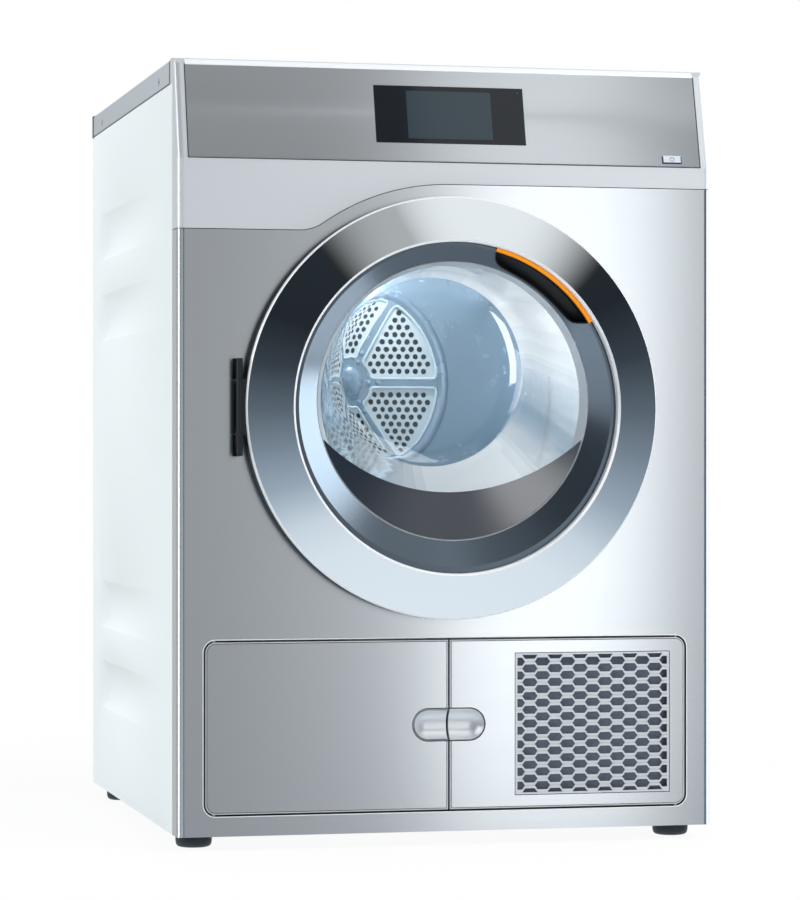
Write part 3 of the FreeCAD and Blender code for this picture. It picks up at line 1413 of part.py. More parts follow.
def make_rear_duct():
    half, wall = d.duct_half, d.duct_wall
    y = (rear_bulkhead_back, duct_back())
    z = (d.duct_low, duct_top)
    shell = cut("rear_duct_shell", block("rear_duct_block", (-half, half), y, z),
                block("rear_duct_hollow", (wall - half, half - wall), (y[0], y[1] - wall),
                      (d.duct_low + wall, duct_top - wall)))
    motor = rod("fan_motor", "y", (d.fan_x, y[1] - wall - d.fan_hub / 3, d.fan_z), d.fan_hub, d.fan_hub / 3)
    shaft = rod("fan_spindle", "y", (d.fan_x, fan_start(), d.fan_z), d.fan_shaft,
                duct_back() - fan_start() - wall)
    keep(join("rear_duct", shell, motor, shaft))


def fan_start():
    return duct_back() - d.duct_wall - d.fan_hub / 3 - d.play - d.fan_width


def make_process_fan():
    """A wheel with blades between two rings, on the fan's own shaft."""
    middle = Vector(float(d.fan_x), float(fan_start()), float(d.fan_z))
    along = Vector(0, 1, 0)
    width, wall = float(d.fan_width), float(d.duct_wall)
    outer, hub = float(d.fan_radius), float(d.fan_hub)
    bore = float(d.fan_shaft + d.running)
    disc = Part.makeCylinder(outer, wall, middle + along * (width - wall), along)
    boss = Part.makeCylinder(hub, width, middle, along)
    rim = Part.makeCylinder(outer, wall, middle, along)
    rim = rim.cut(Part.makeCylinder(outer - hub / 2, wall, middle, along))
    blade = Part.makeBox(wall, width, hub / 2, middle + Vector(-wall / 2, 0, outer - hub / 2))
    blades = []
    for number in range(FAN_BLADES):
        copy = blade.copy()
        copy.rotate(middle, along, 360 * number / FAN_BLADES)
        blades.append(copy)
    wheel = disc.fuse([boss, rim] + blades)
    keep(shaped("process_fan", wheel.cut(Part.makeCylinder(bore, width, middle, along)).removeSplitter()))


def roller_places():
    reach = drum_radius + d.roller_radius + d.play
    x = reach * sine(d.roller_angle)
    z = drum_height - reach * cosine(d.roller_angle)
    return (-1, -x, z), (1, x, z)


def make_rollers():
    for label, (_, x, z) in zip(("left_roller", "right_roller"), roller_places()):
        keep(tube(label, "y", (x, front + d.roller_set, z), d.roller_radius, d.axle_radius + d.running,
                  d.roller_width))


# Drive

def belt_loop(grow, y):
    """The belt's outline round drum and pulley, grown by the belt's thickness for its outside."""
    big = float(drum_radius + d.play) + grow
    small = float(d.pulley_radius + d.play) + grow
    drum = Vector(0, y, float(drum_height))
    pulley = Vector(float(motor_x), y, float(d.motor_z))
    line = pulley - drum
    bearing = math.atan2(line.z, line.x)
    spread = math.acos((big - small) / line.Length)

    def on(centre, radius, angle):
        return centre + Vector(radius * math.cos(angle), 0, radius * math.sin(angle))
    upper, lower = bearing + spread, bearing - spread
    edges = [Part.Arc(on(drum, big, upper), on(drum, big, bearing + math.pi), on(drum, big, lower)),
             Part.LineSegment(on(drum, big, lower), on(pulley, small, lower)),
             Part.Arc(on(pulley, small, lower), on(pulley, small, bearing), on(pulley, small, upper)),
             Part.LineSegment(on(pulley, small, upper), on(drum, big, upper))]
    return Part.Wire([edge.toShape() for edge in edges])


def make_belt():
    y = float(belt_y)
    face = Part.Face([belt_loop(float(d.belt_thick), y), belt_loop(0, y)], "Part::FaceMakerBullseye")
    keep(shaped("drive_belt", face.extrude(Vector(0, float(d.belt_width), 0))))


def make_motor():
    x, z = motor_x, d.motor_z
    start = motor_y
    case = rod("motor_case", "y", (x, start, z), d.motor_radius, d.motor_length)
    half = d.motor_radius
    stand = block("motor_stand", (x - half, clear_side), (start - d.bracket_wall, start),
                  (tray_floor, z + half))
    bore = rod("motor_bore", "y", (x, start - d.bracket_wall, z), d.shaft_radius + d.running,
               d.bracket_wall + d.motor_length / 2)
    keep(cut("drive_motor", join("motor_body", case, stand), bore))


def make_motor_pulley():
    start = belt_y - d.pulley_flange
    face_end = start + d.pulley_flange + d.belt_width + d.play * 2
    low = start + d.pulley_flange - d.play
    flange = d.pulley_radius + d.belt_thick + d.pulley_flange
    end = motor_y + d.motor_length / 2 - d.play
    keep(turned("motor_pulley", (
        (0, start), (flange, start), (flange, low), (d.pulley_radius, low), (d.pulley_radius, face_end),
        (flange, face_end), (flange, face_end + d.pulley_flange), (d.shaft_radius, face_end + d.pulley_flange),
        (d.shaft_radius, end), (0, end),
    ), x=motor_x, z=d.motor_z))


# Heat pump

def tunnel():
    return d.cover_wall - clear_side, d.divider_x - d.tray_wall


def make_heat_pump_cover():
    x = (-clear_side, d.divider_x)
    y = (front + d.cover_front, cover_back)
    wall = d.cover_wall
    shell = block("cover_block", x, y, (tray_top, d.cover_top))
    hollow = block("cover_hollow", (x[0] + wall, x[1] - wall), (y[0] - wall, y[1] + wall),
                   (tray_top - wall, d.cover_top - wall))
    keep(cut("heat_pump_cover", shell, hollow))


def coil(offset):
    """A finned block: fins on a spine, drawn as one comb."""
    low, high = tunnel()
    x_start = float(low + d.play * 2)
    x_end = float(high - d.play * 2)
    y = float(front + offset)
    z_low, z_top = float(d.coil_low), float(d.coil_top)
    step, slot, spine = float(d.fin_step), float(d.fin_slot), float(d.fin_spine)
    count = int((x_end - x_start - (step - slot)) / step)
    corners = [Vector(x_start, y, z_low), Vector(x_start, y, z_top)]
    for number in range(count):
        left = x_start + (step - slot) + number * step
        corners += [Vector(left, y, z_top), Vector(left, y, z_low + spine),
                    Vector(left + slot, y, z_low + spine), Vector(left + slot, y, z_top)]
    corners += [Vector(x_end, y, z_top), Vector(x_end, y, z_low), corners[0]]
    return Part.Face(Part.makePolygon(corners)).extrude(Vector(0, float(d.coil_depth), 0))


def make_heat_exchangers():
    """Evaporator in front, condenser behind it."""
    keep(shaped("heat_exchangers", Part.makeCompound([coil(d.evaporator_set), coil(d.condenser_set)])))


def make_compressor():
    body = new_body("compressor_can", compressor_x, compressor_y, tray_floor)
    sketch = sketch_on(body, "XZ_Plane")
    radius, high, dome = d.compressor_radius, d.compressor_height, d.compressor_dome
    outline(sketch, ((0, 0), (radius - dome / 2, 0), (radius, dome), (radius, high - dome),
                     (radius - dome, high), (0, high)))
    spin = body.newObject("PartDesign::Revolution", "compressor_spin")
    spin.Profile = sketch
    spin.ReferenceAxis = (sketch, ["V_Axis"])
    spin.Angle = 360
    keep(group("compressor", body, refrigerant_lines()))


def pipe(corners):
    """A bent pipe through the given corners."""
    radius, bend = float(d.pipe_radius), float(d.pipe_bend)
    path = []
    last = corners[0]
    for before, corner, after in zip(corners, corners[1:], corners[2:]):
        to_corner = (corner - before).normalize()
        onward = (after - corner).normalize()
        start, end = corner - to_corner * bend, corner + onward * bend
        centre = corner - to_corner * bend + onward * bend
        middle = centre + (corner - centre).normalize() * bend
        path += [Part.LineSegment(last, start).toShape(), Part.Arc(start, middle, end).toShape()]
        last = end
    path.append(Part.LineSegment(last, corners[-1]).toShape())
    wire = Part.Wire(path)
    ring = Part.Wire(Part.makeCircle(radius, corners[0], corners[1] - corners[0]))
    return wire.makePipeShell([ring], True, False)


def refrigerant_lines():
    x, y = compressor_x, compressor_y
    cover_x = d.divider_x + d.play
    top = tray_floor + d.compressor_height + d.play
    reach = d.compressor_radius / 3
    pipes = []
    runs = ((-1, d.evaporator_set, d.suction_z + d.pipe_bend),
            (1, d.condenser_set, d.liquid_z + d.pipe_bend * 3))
    for sign, offset, z in runs:
        run_y = front + offset + d.coil_depth / 2
        start_x = x + sign * reach
        pipes.append(pipe([point(start_x, y, top), point(start_x, y, z), point(start_x, run_y, z),
                           point(cover_x, run_y, z)]))
    return shaped("refrigerant_lines", Part.makeCompound(pipes))


def make_condensate_pump():
    place_at = (d.pump_x, back - d.pump_set, tray_floor)
    body = rod("pump_body", "z", place_at, d.pump_radius, d.pump_height)
    neck = rod("pump_neck", "z", place_at, d.spigot_radius, d.pump_height + d.pump_radius)
    keep(join("condensate_pump", body, neck))


def make_plinth_filter():
    x = (plinth_left, plinth_left + d.plinth_width)
    y = (front + d.plinth_set, front + d.plinth_set + d.plinth_thick)
    z = (tray_floor, d.plinth_top)
    rim = d.plinth_frame
    recess = block("plinth_recess", (x[0] + rim, x[1] - rim), (y[0], y[0] + d.plinth_thick / 3),
                   (z[0] + rim, z[1] - rim))
    keep(cut("plinth_filter", block("plinth_block", x, y, z), recess))


def make_cooling_fan():
    """Hub and slanted blades."""
    middle = Vector(float(blower_x), float(front + d.blower_set), float(d.blower_z))
    along = Vector(0, 1, 0)
    width, wall = float(d.blower_width), float(d.blower_frame)
    outer, hub = float(d.blower_radius), float(d.blower_hub)
    boss = Part.makeCylinder(hub, width, middle, along)
    blade = Part.makeBox(wall / 2, width * 1.6, outer * 2, middle + Vector(-wall / 4, -width * 0.3, hub / 2))
    blade.rotate(middle + along * (width / 2), Vector(0, 0, 1), 52)
    room = Part.makeCylinder(outer, width, middle, along)
    blade = blade.common(room)
    blades = []
    for number in range(BLOWER_BLADES):
        copy = blade.copy()
        copy.rotate(middle, along, 360 * number / BLOWER_BLADES)
        blades.append(copy)
    bore = Part.makeCylinder(float(d.fan_shaft + d.running), width, middle, along)
    keep(shaped("cooling_fan", boss.fuse(blades).cut(bore).removeSplitter()))


def make_cooling_fan_frame():
    reach = d.blower_radius + d.blower_clear
    edge = reach + d.blower_arm
    wall = d.blower_frame
    start = front + d.blower_set
    back_y = start + d.blower_width + d.play
    x, z = blower_x, d.blower_z
    box = block("blower_block", (x - edge, x + edge), (start, back_y + wall), (tray_floor, z + edge))
    throat = rod("blower_throat", "y", (x, start, z), reach, back_y + wall - start)
    half = d.blower_arm / 2
    arms = [block("blower_arm_across", (x - edge, x + edge), (back_y, back_y + wall), (z - half, z + half)),
            block("blower_arm_up", (x - half, x + half), (back_y, back_y + wall), (z - edge, z + edge)),
            rod("blower_motor", "y", (x, back_y, z), d.blower_hub, d.blower_hub),
            rod("blower_shaft", "y", (x, start, z), d.fan_shaft, d.blower_width + d.blower_hub)]
    keep(join("cooling_fan_frame", cut("blower_shell", box, throat), *arms))


def build():
    make_base_tray()
    make_feet()
    make_side_panel("left_side_panel", -1)
    make_side_panel("right_side_panel", 1)
    make_rear_panel()
    make_rear_cover()
    make_rear_connections()
    make_top_lid()
    make_lid_trim()
    make_casing_screws()
    make_front_panel()
    make_fascia()
    make_fascia_plate()
    make_display()
    make_power_button()
    make_control_unit()
    make_flap_frame()
    make_flap("left_flap", -1, [])
    make_flap("right_flap", 1, [grille_window()])
    make_grille()
    make_outer_ring()
    make_inner_ring()
    make_handle_pocket()
    make_handle_accent()
    make_door_frame()
    make_door_glass()
    make_chin()
    make_door_seal()
    make_striker()
    make_door_lock()
    make_hinge_bracket()
    make_hinge_pin()
    make_hinge_arm()
    make_front_bulkhead()
    make_lint_filter()
    make_drum_lamp()
    make_felt()
    make_drum_shell()
    make_drum_wall()
    make_lifters()
    make_spindle()
    make_rear_bulkhead()
    make_rear_bearing()
    make_rear_duct()
    make_process_fan()
    make_rollers()
    make_belt()
    make_motor()
    make_motor_pulley()
    make_heat_pump_cover()
    make_heat_exchangers()
    make_compressor()
    make_condensate_pump()
    make_plinth_filter()
    make_cooling_fan()
    make_cooling_fan_frame()


def write_parts():
    doc.recompute()
    broken = [item.Label for item in doc.Objects if {"Invalid", "Error"} & set(item.State)]
    broken += [item.Label for item in nodes if item.Shape.isNull() or not item.Shape.isValid()]
    if broken:
        raise RuntimeError(f"objects that failed: {broken}")
    os.makedirs("parts", exist_ok=True)
    for item in nodes:
        item.Shape.exportStep(f"parts/{item.Label}.step")
    print(f"wrote {len(nodes)} parts")


build()
write_parts()
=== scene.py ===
import json
import math

import bmesh
import bpy
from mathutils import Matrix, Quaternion, Vector
from mathutils.geometry import delaunay_2d_cdt

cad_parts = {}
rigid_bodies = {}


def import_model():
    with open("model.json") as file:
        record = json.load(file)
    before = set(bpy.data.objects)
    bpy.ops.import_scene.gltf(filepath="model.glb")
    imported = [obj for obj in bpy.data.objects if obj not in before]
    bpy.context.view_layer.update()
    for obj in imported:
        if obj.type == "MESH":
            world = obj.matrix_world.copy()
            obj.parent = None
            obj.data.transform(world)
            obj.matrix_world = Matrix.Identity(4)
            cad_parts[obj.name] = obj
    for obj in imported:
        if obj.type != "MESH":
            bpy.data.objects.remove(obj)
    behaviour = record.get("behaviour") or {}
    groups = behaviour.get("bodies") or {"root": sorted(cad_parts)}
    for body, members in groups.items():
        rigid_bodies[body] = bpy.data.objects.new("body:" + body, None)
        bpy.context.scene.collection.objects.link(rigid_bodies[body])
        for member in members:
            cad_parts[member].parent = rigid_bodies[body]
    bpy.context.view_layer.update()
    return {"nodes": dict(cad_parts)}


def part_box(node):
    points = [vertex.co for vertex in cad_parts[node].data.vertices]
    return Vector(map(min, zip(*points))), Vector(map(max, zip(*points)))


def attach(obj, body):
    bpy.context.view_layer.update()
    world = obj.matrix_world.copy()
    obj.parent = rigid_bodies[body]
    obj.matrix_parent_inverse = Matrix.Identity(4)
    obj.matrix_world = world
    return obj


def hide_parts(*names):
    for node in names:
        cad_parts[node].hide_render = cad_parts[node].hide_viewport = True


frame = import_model()
cad = frame["nodes"]


# Small helpers for materials

def toLinear(hexColour):
    channels = [int(hexColour[i:i + 2], 16) / 255 for i in (1, 3, 5)]
    return tuple(c / 12.92 if c <= 0.04045 else ((c + 0.055) / 1.055) ** 2.4 for c in channels) + (1.0,)


def addNode(tree, kind, links=None, **settings):
    node = tree.nodes.new("ShaderNode" + kind)
    for name, value in settings.items():
        setattr(node, name, value)
    for socket, value in (links or {}).items():
        if isinstance(value, bpy.types.NodeSocket):
            tree.links.new(value, node.inputs[socket])
        else:
            node.inputs[socket].default_value = value
    return node


def remap(tree, value, fromRange, toRange, **settings):
    return addNode(tree, "MapRange", {"Value": value, "From Min": fromRange[0], "From Max": fromRange[1],
                                      "To Min": toRange[0], "To Max": toRange[1]}, **settings).outputs["Result"]


def addRelief(tree, height, depthMm, spread, rough):  # bump from one output, roughness from another
    shader = tree.nodes["Principled BSDF"]
    bump = addNode(tree, "Bump", {"Height": height, "Distance": depthMm / 1000})
    tree.links.new(bump.outputs["Normal"], shader.inputs["Normal"])
    tree.links.new(remap(tree, spread, (0, 1), rough), shader.inputs["Roughness"])


def addGrain(tree, sizeMm, depthMm, swing):  # uneven surface: cell size, height and roughness swing
    sizes = sizeMm if isinstance(sizeMm, tuple) else (sizeMm,) * 3
    coords = addNode(tree, "TexCoord")
    scaled = addNode(tree, "Mapping", {"Vector": coords.outputs["Object"], "Scale": [1000 / s for s in sizes]})
    noise = addNode(tree, "TexNoise", {"Vector": scaled.outputs["Vector"], "Scale": 1.0, "Detail": 4.0})
    middle = tree.nodes["Principled BSDF"].inputs["Roughness"].default_value
    addRelief(tree, noise.outputs["Fac"], depthMm, noise.outputs["Fac"], (middle - swing, middle + swing))


def addCells(tree, sizeMm, depthMm, rough, roughBy, sockets=None, **settings):  # cells grown or pressed in sheet
    coords = addNode(tree, "TexCoord")
    cells = addNode(tree, "TexVoronoi", {"Vector": coords.outputs["Object"], "Scale": 1000 / sizeMm,
                                         **(sockets or {})}, **settings)
    addRelief(tree, cells.outputs["Distance"], depthMm, cells.outputs[roughBy], rough)


def newFinish(name, colour, roughness, metallic=0.0, sockets=None, grain=None):
    material = bpy.data.materials.new(name)
    material.use_nodes = True
    shader = material.node_tree.nodes["Principled BSDF"]
    values = {"Base Color": toLinear(colour), "Roughness": roughness, "Metallic": metallic, **(sockets or {})}
    for socket, value in values.items():
        shader.inputs[socket].default_value = value
    if grain:
        addGrain(material.node_tree, *grain)
    return material


# Brushed stainless sheet: level brush lines, so highlights smear upright and stay narrow sideways
brushedSteel = newFinish("brushedStainlessSteel", "#c8ced3", 0.2, 1.0,
                         {"Anisotropic": 0.6, "Anisotropic Rotation": 0.25},
                         ((160, 1.2, 1.2), 0.0008, 0.02))  # real lines are 0.1 mm, drawn 1.2 mm to show

# Silver lacquer on moulded ABS: soft even sheen, paler than the steel
silverAbs = newFinish("silverLacqueredAbs", "#d4d9dd", 0.34, 0.5, {"IOR": 1.53}, (1.2, 0.004, 0.04))

# Metallic lacquer in the hollow grips: shaded by what each side of the hollow faces
gripLacquer = newFinish("metallicGripLacquer", "#dce1e5", 0.3, 0.55, {"IOR": 1.53}, (1.2, 0.004, 0.04))

# Polished chrome plate: a clear mirror of the studio, with the slow waviness of plated plastic
chromePlate = newFinish("polishedChromePlate", "#e3eaee", 0.05, 1.0, None, (40, 0.004, 0.015))

# Painted highlight: a pale satin finish that stays bright from every side, put on chrome and steel edges, rolls and
# bevels
paintedHighlight = newFinish("paintedHighlightPale", "#f3f6f8", 0.34, 0.25, None, (1.5, 0.0006, 0.04))

# Dark satin chrome: grey metal with a blurred reflection
satinChrome = newFinish("darkSatinChrome", "#4c5761", 0.22, 0.75, None, (2, 0.003, 0.04))

# Pressed soda-lime glass: clear, with a faint green-blue cast and gentle press waves
pressedGlass = newFinish("pressedSodaLimeGlass", "#fafeff", 0.02, 0.0, {"IOR": 1.5, "Transmission Weight": 1.0},
                         (34, 0.05, 0.01))

# The same glass with painted light: grades of whitening that light up white, by the percentage let through
paintedLightGrades = [newFinish("paintedLightSodaLimeGlass", "#fbfeff", 0.05, 0.0, {"IOR": 1.5, "Transmission Weight": share / 100},
                        (30, 0.06, 0.02)) for share in range(95, 45, -5)]

# High-gloss black ABS: deep navy black under a clear shine
glossAbs = newFinish("highGlossAbs", "#1a222d", 0.26, 0.0,
                     {"IOR": 1.54, "Coat Weight": 0.6, "Coat Roughness": 0.3}, (60, 0.01, 0.03))

# Moulded black polypropylene with spark-eroded texture: dull and slightly pebbled
blackMoulding = newFinish("sparkErodedPolypropylene", "#14191d", 0.5, 0.0, {"IOR": 1.49}, (1.4, 0.03, 0.08))

# Dark grey moulded nylon of feet, ducts and housings: dull, with a weak sheen
greyNylon = newFinish("mouldedGreyNylon", "#2b3439", 0.48, 0.0, {"IOR": 1.53}, (1.8, 0.03, 0.08))

# Orange self-coloured ABS in the handle: a plain, strong colour with little shine
orangeAbs = newFinish("orangeAbs", "#ff9a08", 0.5, 0.0, {"IOR": 1.54, "Specular IOR Level": 0.3}, (1.5, 0.008, 0.05))

# White powder coat on sheet steel: soft gloss with orange peel
whitePowder = newFinish("whitePowderCoat", "#ecf5f6", 0.3, 0.0, {"IOR": 1.5}, (2.4, 0.02, 0.05))

# Silver powder coat of the lid: finer and duller than the fascia, with a painted shadow line along the apron's lower
# edge and painted shade at its front joint with the fascia
lidCoat = {"colour": "#bcc4cb", "hem": "#3c4852", "paintedShadowBelow": 0.8247, "paintedShadowAhead": -0.2535}
lidLacquer = newFinish("silverPowderCoat", lidCoat["colour"], 0.38, 0.35, {"IOR": 1.5}, (1.6, 0.012, 0.05))
tree = lidLacquer.node_tree
coords = addNode(tree, "TexCoord")
axes = addNode(tree, "SeparateXYZ", {"Vector": coords.outputs["Object"]})
# Painted shadow: the lowest strip of the apron and the lid's front end turn dark
below = addNode(tree, "Math", {0: axes.outputs["Z"], 1: lidCoat["paintedShadowBelow"]}, operation="LESS_THAN")
ahead = addNode(tree, "Math", {0: axes.outputs["Y"], 1: lidCoat["paintedShadowAhead"]}, operation="LESS_THAN")
hem = addNode(tree, "Math", {0: below.outputs[0], 1: ahead.outputs[0]}, operation="MAXIMUM")
paint = addNode(tree, "MixRGB", {"Fac": hem.outputs[0], "Color1": toLinear(lidCoat["colour"]),
                                 "Color2": toLinear(lidCoat["hem"])})
tree.links.new(paint.outputs["Color"], tree.nodes["Principled BSDF"].inputs["Base Color"])

# Hot-dip galvanised sheet: grey metal with spangle
galvanised = newFinish("galvanisedSheet", "#b4babd", 0.42, 1.0)
addCells(galvanised.node_tree, 14, 0.02, (0.32, 0.5), "Color")  # 14 mm spangle

# Zinc-plated screw steel: bright, with a fine grain
zincSteel = newFinish("zincPlatedSteel", "#c9ced2", 0.28, 1.0, None, (0.8, 0.006, 0.06))

# Black back-printed display glass: near black with a clear reflection
displayGlass = newFinish("backPrintedGlass", "#10161d", 0.06, 0.0, {"IOR": 1.52, "Specular IOR Level": 0.3},
                         (80, 0.004, 0.02))

# The live area of the switched-off screen: slate grey behind the same glass
screenGlass = newFinish("slateScreenGlass", "#2b3840", 0.09, 0.0, {"IOR": 1.52, "Specular IOR Level": 0.3},
                        (80, 0.004, 0.02))

# Moulded silver ABS of the button: pale, with a soft sheen
paleAbs = newFinish("paleSilverAbs", "#c6d2de", 0.3, 0.2, {"IOR": 1.54}, (0.9, 0.004, 0.04))

# Reticulated filter foam: dark slate, open and matt
filterFoam = newFinish("reticulatedFilterFoam", "#707a87", 0.85, 0.0, {"IOR": 1.45}, (1.6, 0.6, 0.08))

# EPDM rubber: black and matt
epdmRubber = newFinish("epdmRubber", "#17191b", 0.7, 0.0, {"IOR": 1.48}, (1, 0.03, 0.1))

# Pressed wool felt: pale grey fibres
woolFelt = newFinish("pressedWoolFelt", "#9a968c", 0.95, 0.0, {"Sheen Weight": 0.5}, ((0.9, 0.9, 4), 0.3, 0.04))

# Frosted polycarbonate lens of the drum lamp: lit, an even white glow
lampLens = newFinish("frostedPolycarbonate", "#f4fbff", 0.4, 0.0,
                     {"Emission Color": toLinear("#eafaff"), "Emission Strength": 2.0}, (1.2, 0.05, 0.08))

# Stainless drum sheet with a honeycomb press pattern: bright, cool and softly broken
drumSteel = newFinish("honeycombDrumSteel", "#c6d1d8", 0.3, 0.4)
addCells(drumSteel.node_tree, 16, 1.2, (0.24, 0.36), "Distance", {"Randomness": 0.15},
         feature="SMOOTH_F1")  # 16 mm honeycomb

# Pressed stainless of the drum's rear wall: cool grey, darker than the sieve's copy of the same steel as painted shade,
# with slow dents that bend the reflections
pressedSteel = newFinish("pressedStainlessSteel", "#9fb4c6", 0.26, 0.6, None, (24, 0.06, 0.05))

# The same stainless in the perforated sectors, painted paler and livelier than the wall round them as painted light
sieveSteel = newFinish("paintedLightStainlessSteel", "#e4eff5", 0.24, 0.4, None, (9, 0.12, 0.05))

# Moulded polypropylene of the drum lifters: pale grey and smooth
lifterPlastic = newFinish("paleGreyPolypropylene", "#e4eaec", 0.3, 0.0, {"IOR": 1.49}, (2, 0.02, 0.05))

# Stove enamel on motor and compressor: black with a soft gloss
motorEnamel = newFinish("blackStoveEnamel", "#22272b", 0.35, 0.0, {"IOR": 1.5}, (2, 0.03, 0.08))

# Rolled aluminium fins: pale metal with fine upright lines
finAluminium = newFinish("rolledAluminium", "#cfd3d6", 0.34, 1.0, None, ((1, 1, 30), 0.01, 0.06))
print("finishes:", len(bpy.data.materials))


# Which finish each CAD node wears
finishOf = {
    brushedSteel: ("front_panel", "fascia_plate"),
    silverAbs: ("control_fascia", "left_flap", "right_flap", "vent_grille"),
    lidLacquer: ("top_lid",),
    whitePowder: ("left_side_panel", "right_side_panel", "front_bulkhead"),
    galvanised: ("rear_panel", "rear_cover", "base_tray", "rear_bulkhead", "rear_duct"),
    zincSteel: ("casing_screws", "door_striker", "motor_pulley"),
    greyNylon: ("front_left_foot", "front_right_foot", "rear_left_foot", "rear_right_foot", "lid_rear_trim",
                "rear_connections", "rear_bearing", "process_fan", "cooling_fan", "cooling_fan_frame",
                "condensate_pump", "heat_pump_cover", "control_unit", "plinth_filter"),
    blackMoulding: ("handle_pocket", "door_back_frame", "flap_frame", "door_lock", "door_hinge_arm", "hinge_bracket",
                    "hinge_pin", "lint_filter"),
    displayGlass: ("display",),
    paleAbs: ("power_button",),
    chromePlate: ("door_outer_ring",),
    satinChrome: ("door_inner_ring",),
    orangeAbs: ("handle_accent",),
    pressedGlass: ("door_glass",),
    glossAbs: ("door_chin",),
    epdmRubber: ("door_seal", "drive_belt", "left_roller", "right_roller"),
    woolFelt: ("drum_felt",),
    lampLens: ("drum_lamp",),
    drumSteel: ("drum_shell",),
    pressedSteel: ("drum_rear_wall",),
    lifterPlastic: ("drum_lifters",),
    motorEnamel: ("drive_motor", "compressor", "drum_spindle"),
    finAluminium: ("heat_exchangers",),
}
for material, names in finishOf.items():
    for name in names:
        cad[name].data.materials.clear()
        cad[name].data.materials.append(material)
print("finishes set on", sum(len(names) for names in finishOf.values()), "nodes")


# Small helpers for meshes

def addObject(name, data):
    made = bpy.data.objects.new(name, data)
    bpy.context.scene.collection.objects.link(made)
    return made


def addPiece(name, verts, faces, material, body, slot, replaced=(), sharp=35, wall=0.0):
    mesh = bpy.data.meshes.new(name)
    mesh.from_pydata([tuple(v) for v in verts], [], faces)
    edit = bmesh.new()
    edit.from_mesh(mesh)
    bmesh.ops.remove_doubles(edit, verts=edit.verts, dist=1e-6)
    bmesh.ops.recalc_face_normals(edit, faces=edit.faces)
    if wall:  # an open sheet that faces the front gets its thickness behind
        if sum(f.normal.y * f.calc_area() for f in edit.faces) > 0:
            bmesh.ops.reverse_faces(edit, faces=edit.faces)
        bmesh.ops.solidify(edit, geom=edit.faces[:], thickness=wall)
    edit.to_mesh(mesh)
    edit.free()
    mesh.shade_smooth()
    mesh.set_sharp_from_angle(angle=math.radians(sharp))
    mesh.materials.append(material)
    piece = addObject(name, mesh)
    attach(piece, body)
    if replaced:
        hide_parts(*replaced)
    return piece


def joinMesh(target, more):
    start = len(target[0])
    target[0].extend(more[0])
    target[1].extend(tuple(start + i for i in face) for face in more[1])


def gridFaces(rows, count, closeRows=False, closeCount=True):  # quads between neighbouring rows of points
    faces = []
    for row in range(rows if closeRows else rows - 1):
        start, after = row * count, (row + 1) % rows * count
        for i in range(count if closeCount else count - 1):
            j = (i + 1) % count
            faces.append((start + i, start + j, after + j, after + i))
    return faces


def loftMesh(rings, firstEnd=True, lastEnd=True):  # closed rings, one after another
    count = len(rings[0])
    verts, faces = [p for ring in rings for p in ring], gridFaces(len(rings), count)
    faces += [tuple(range(count))] * firstEnd + [tuple(range(len(verts) - count, len(verts)))] * lastEnd
    return verts, faces


def latheMesh(profile, steps, atX=0.0):  # closed profile of radius, depth and axis height, turned about Y
    verts = []
    for step in range(steps):
        angle = 2 * math.pi * step / steps
        verts += [(atX + radius * math.sin(angle), y, z + radius * math.cos(angle)) for radius, y, z in profile]
    return verts, gridFaces(steps, len(profile), closeRows=True)


def uprightMesh(profile, centre, steps):  # closed profile of radius and height, turned about Z
    verts, faces = latheMesh([(radius, z, 0.0) for radius, z in profile], steps)
    return [(centre[0] + v[2], centre[1] + v[0], v[1]) for v in verts], faces


def neighbours(loop):
    return zip(loop, loop[1:] + loop[:1])


def pointBetween(a, b, share):
    return tuple(p + (q - p) * share for p, q in zip(a, b))


def insideLoop(point, loop):
    x, z = point
    inside = False
    for (ax, az), (bx, bz) in neighbours(loop):
        if (az > z) != (bz > z) and x < ax + (z - az) / (bz - az) * (bx - ax):
            inside = not inside
    return inside


def plateMesh(loops, yFront, yBack):  # flat plate across Y; the first loop is its edge, the others are holes
    flat, edges, starts = [], [], []
    for loop in loops:
        starts.append(len(flat))
        edges += [(len(flat) + i, len(flat) + (i + 1) % len(loop)) for i in range(len(loop))]
        flat += [Vector(p) for p in loop]
    points, _, triangles, origin, _, _ = delaunay_2d_cdt(flat, edges, [], 1, 1e-8)
    place = {old: new for new, olds in enumerate(origin) for old in olds}
    verts = [(p.x, yFront, p.y) for p in points] + [(p.x, yBack, p.y) for p in points]
    count = len(points)
    faces = []
    for tri in triangles:
        middle = sum((points[i] for i in tri), Vector((0, 0))) / 3
        if not any(insideLoop(middle, loop) for loop in loops[1:]):
            faces += [tuple(tri), tuple(count + i for i in reversed(tri))]
    for start, loop in zip(starts, loops):
        ring = [place[start + i] for i in range(len(loop))]
        faces += [(a, b, count + b, count + a) for a, b in neighbours(ring)]
    return verts, faces


def rectLoop(left, low, right, high, grow=0.0):
    left, low, right, high = left - grow, low - grow, right + grow, high + grow
    return [(left, low), (right, low), (right, high), (left, high)]


def arcPoints(centre, radius, fromDeg, toDeg, steps=10):
    turns = [math.radians(fromDeg + (toDeg - fromDeg) * i / steps) for i in range(steps + 1)]
    return [(centre[0] + radius * math.cos(t), centre[1] + radius * math.sin(t)) for t in turns]


def circleLoop(centre, radius, sides=24):
    return arcPoints(centre, radius, 0, 360 - 360 / sides, sides - 1)


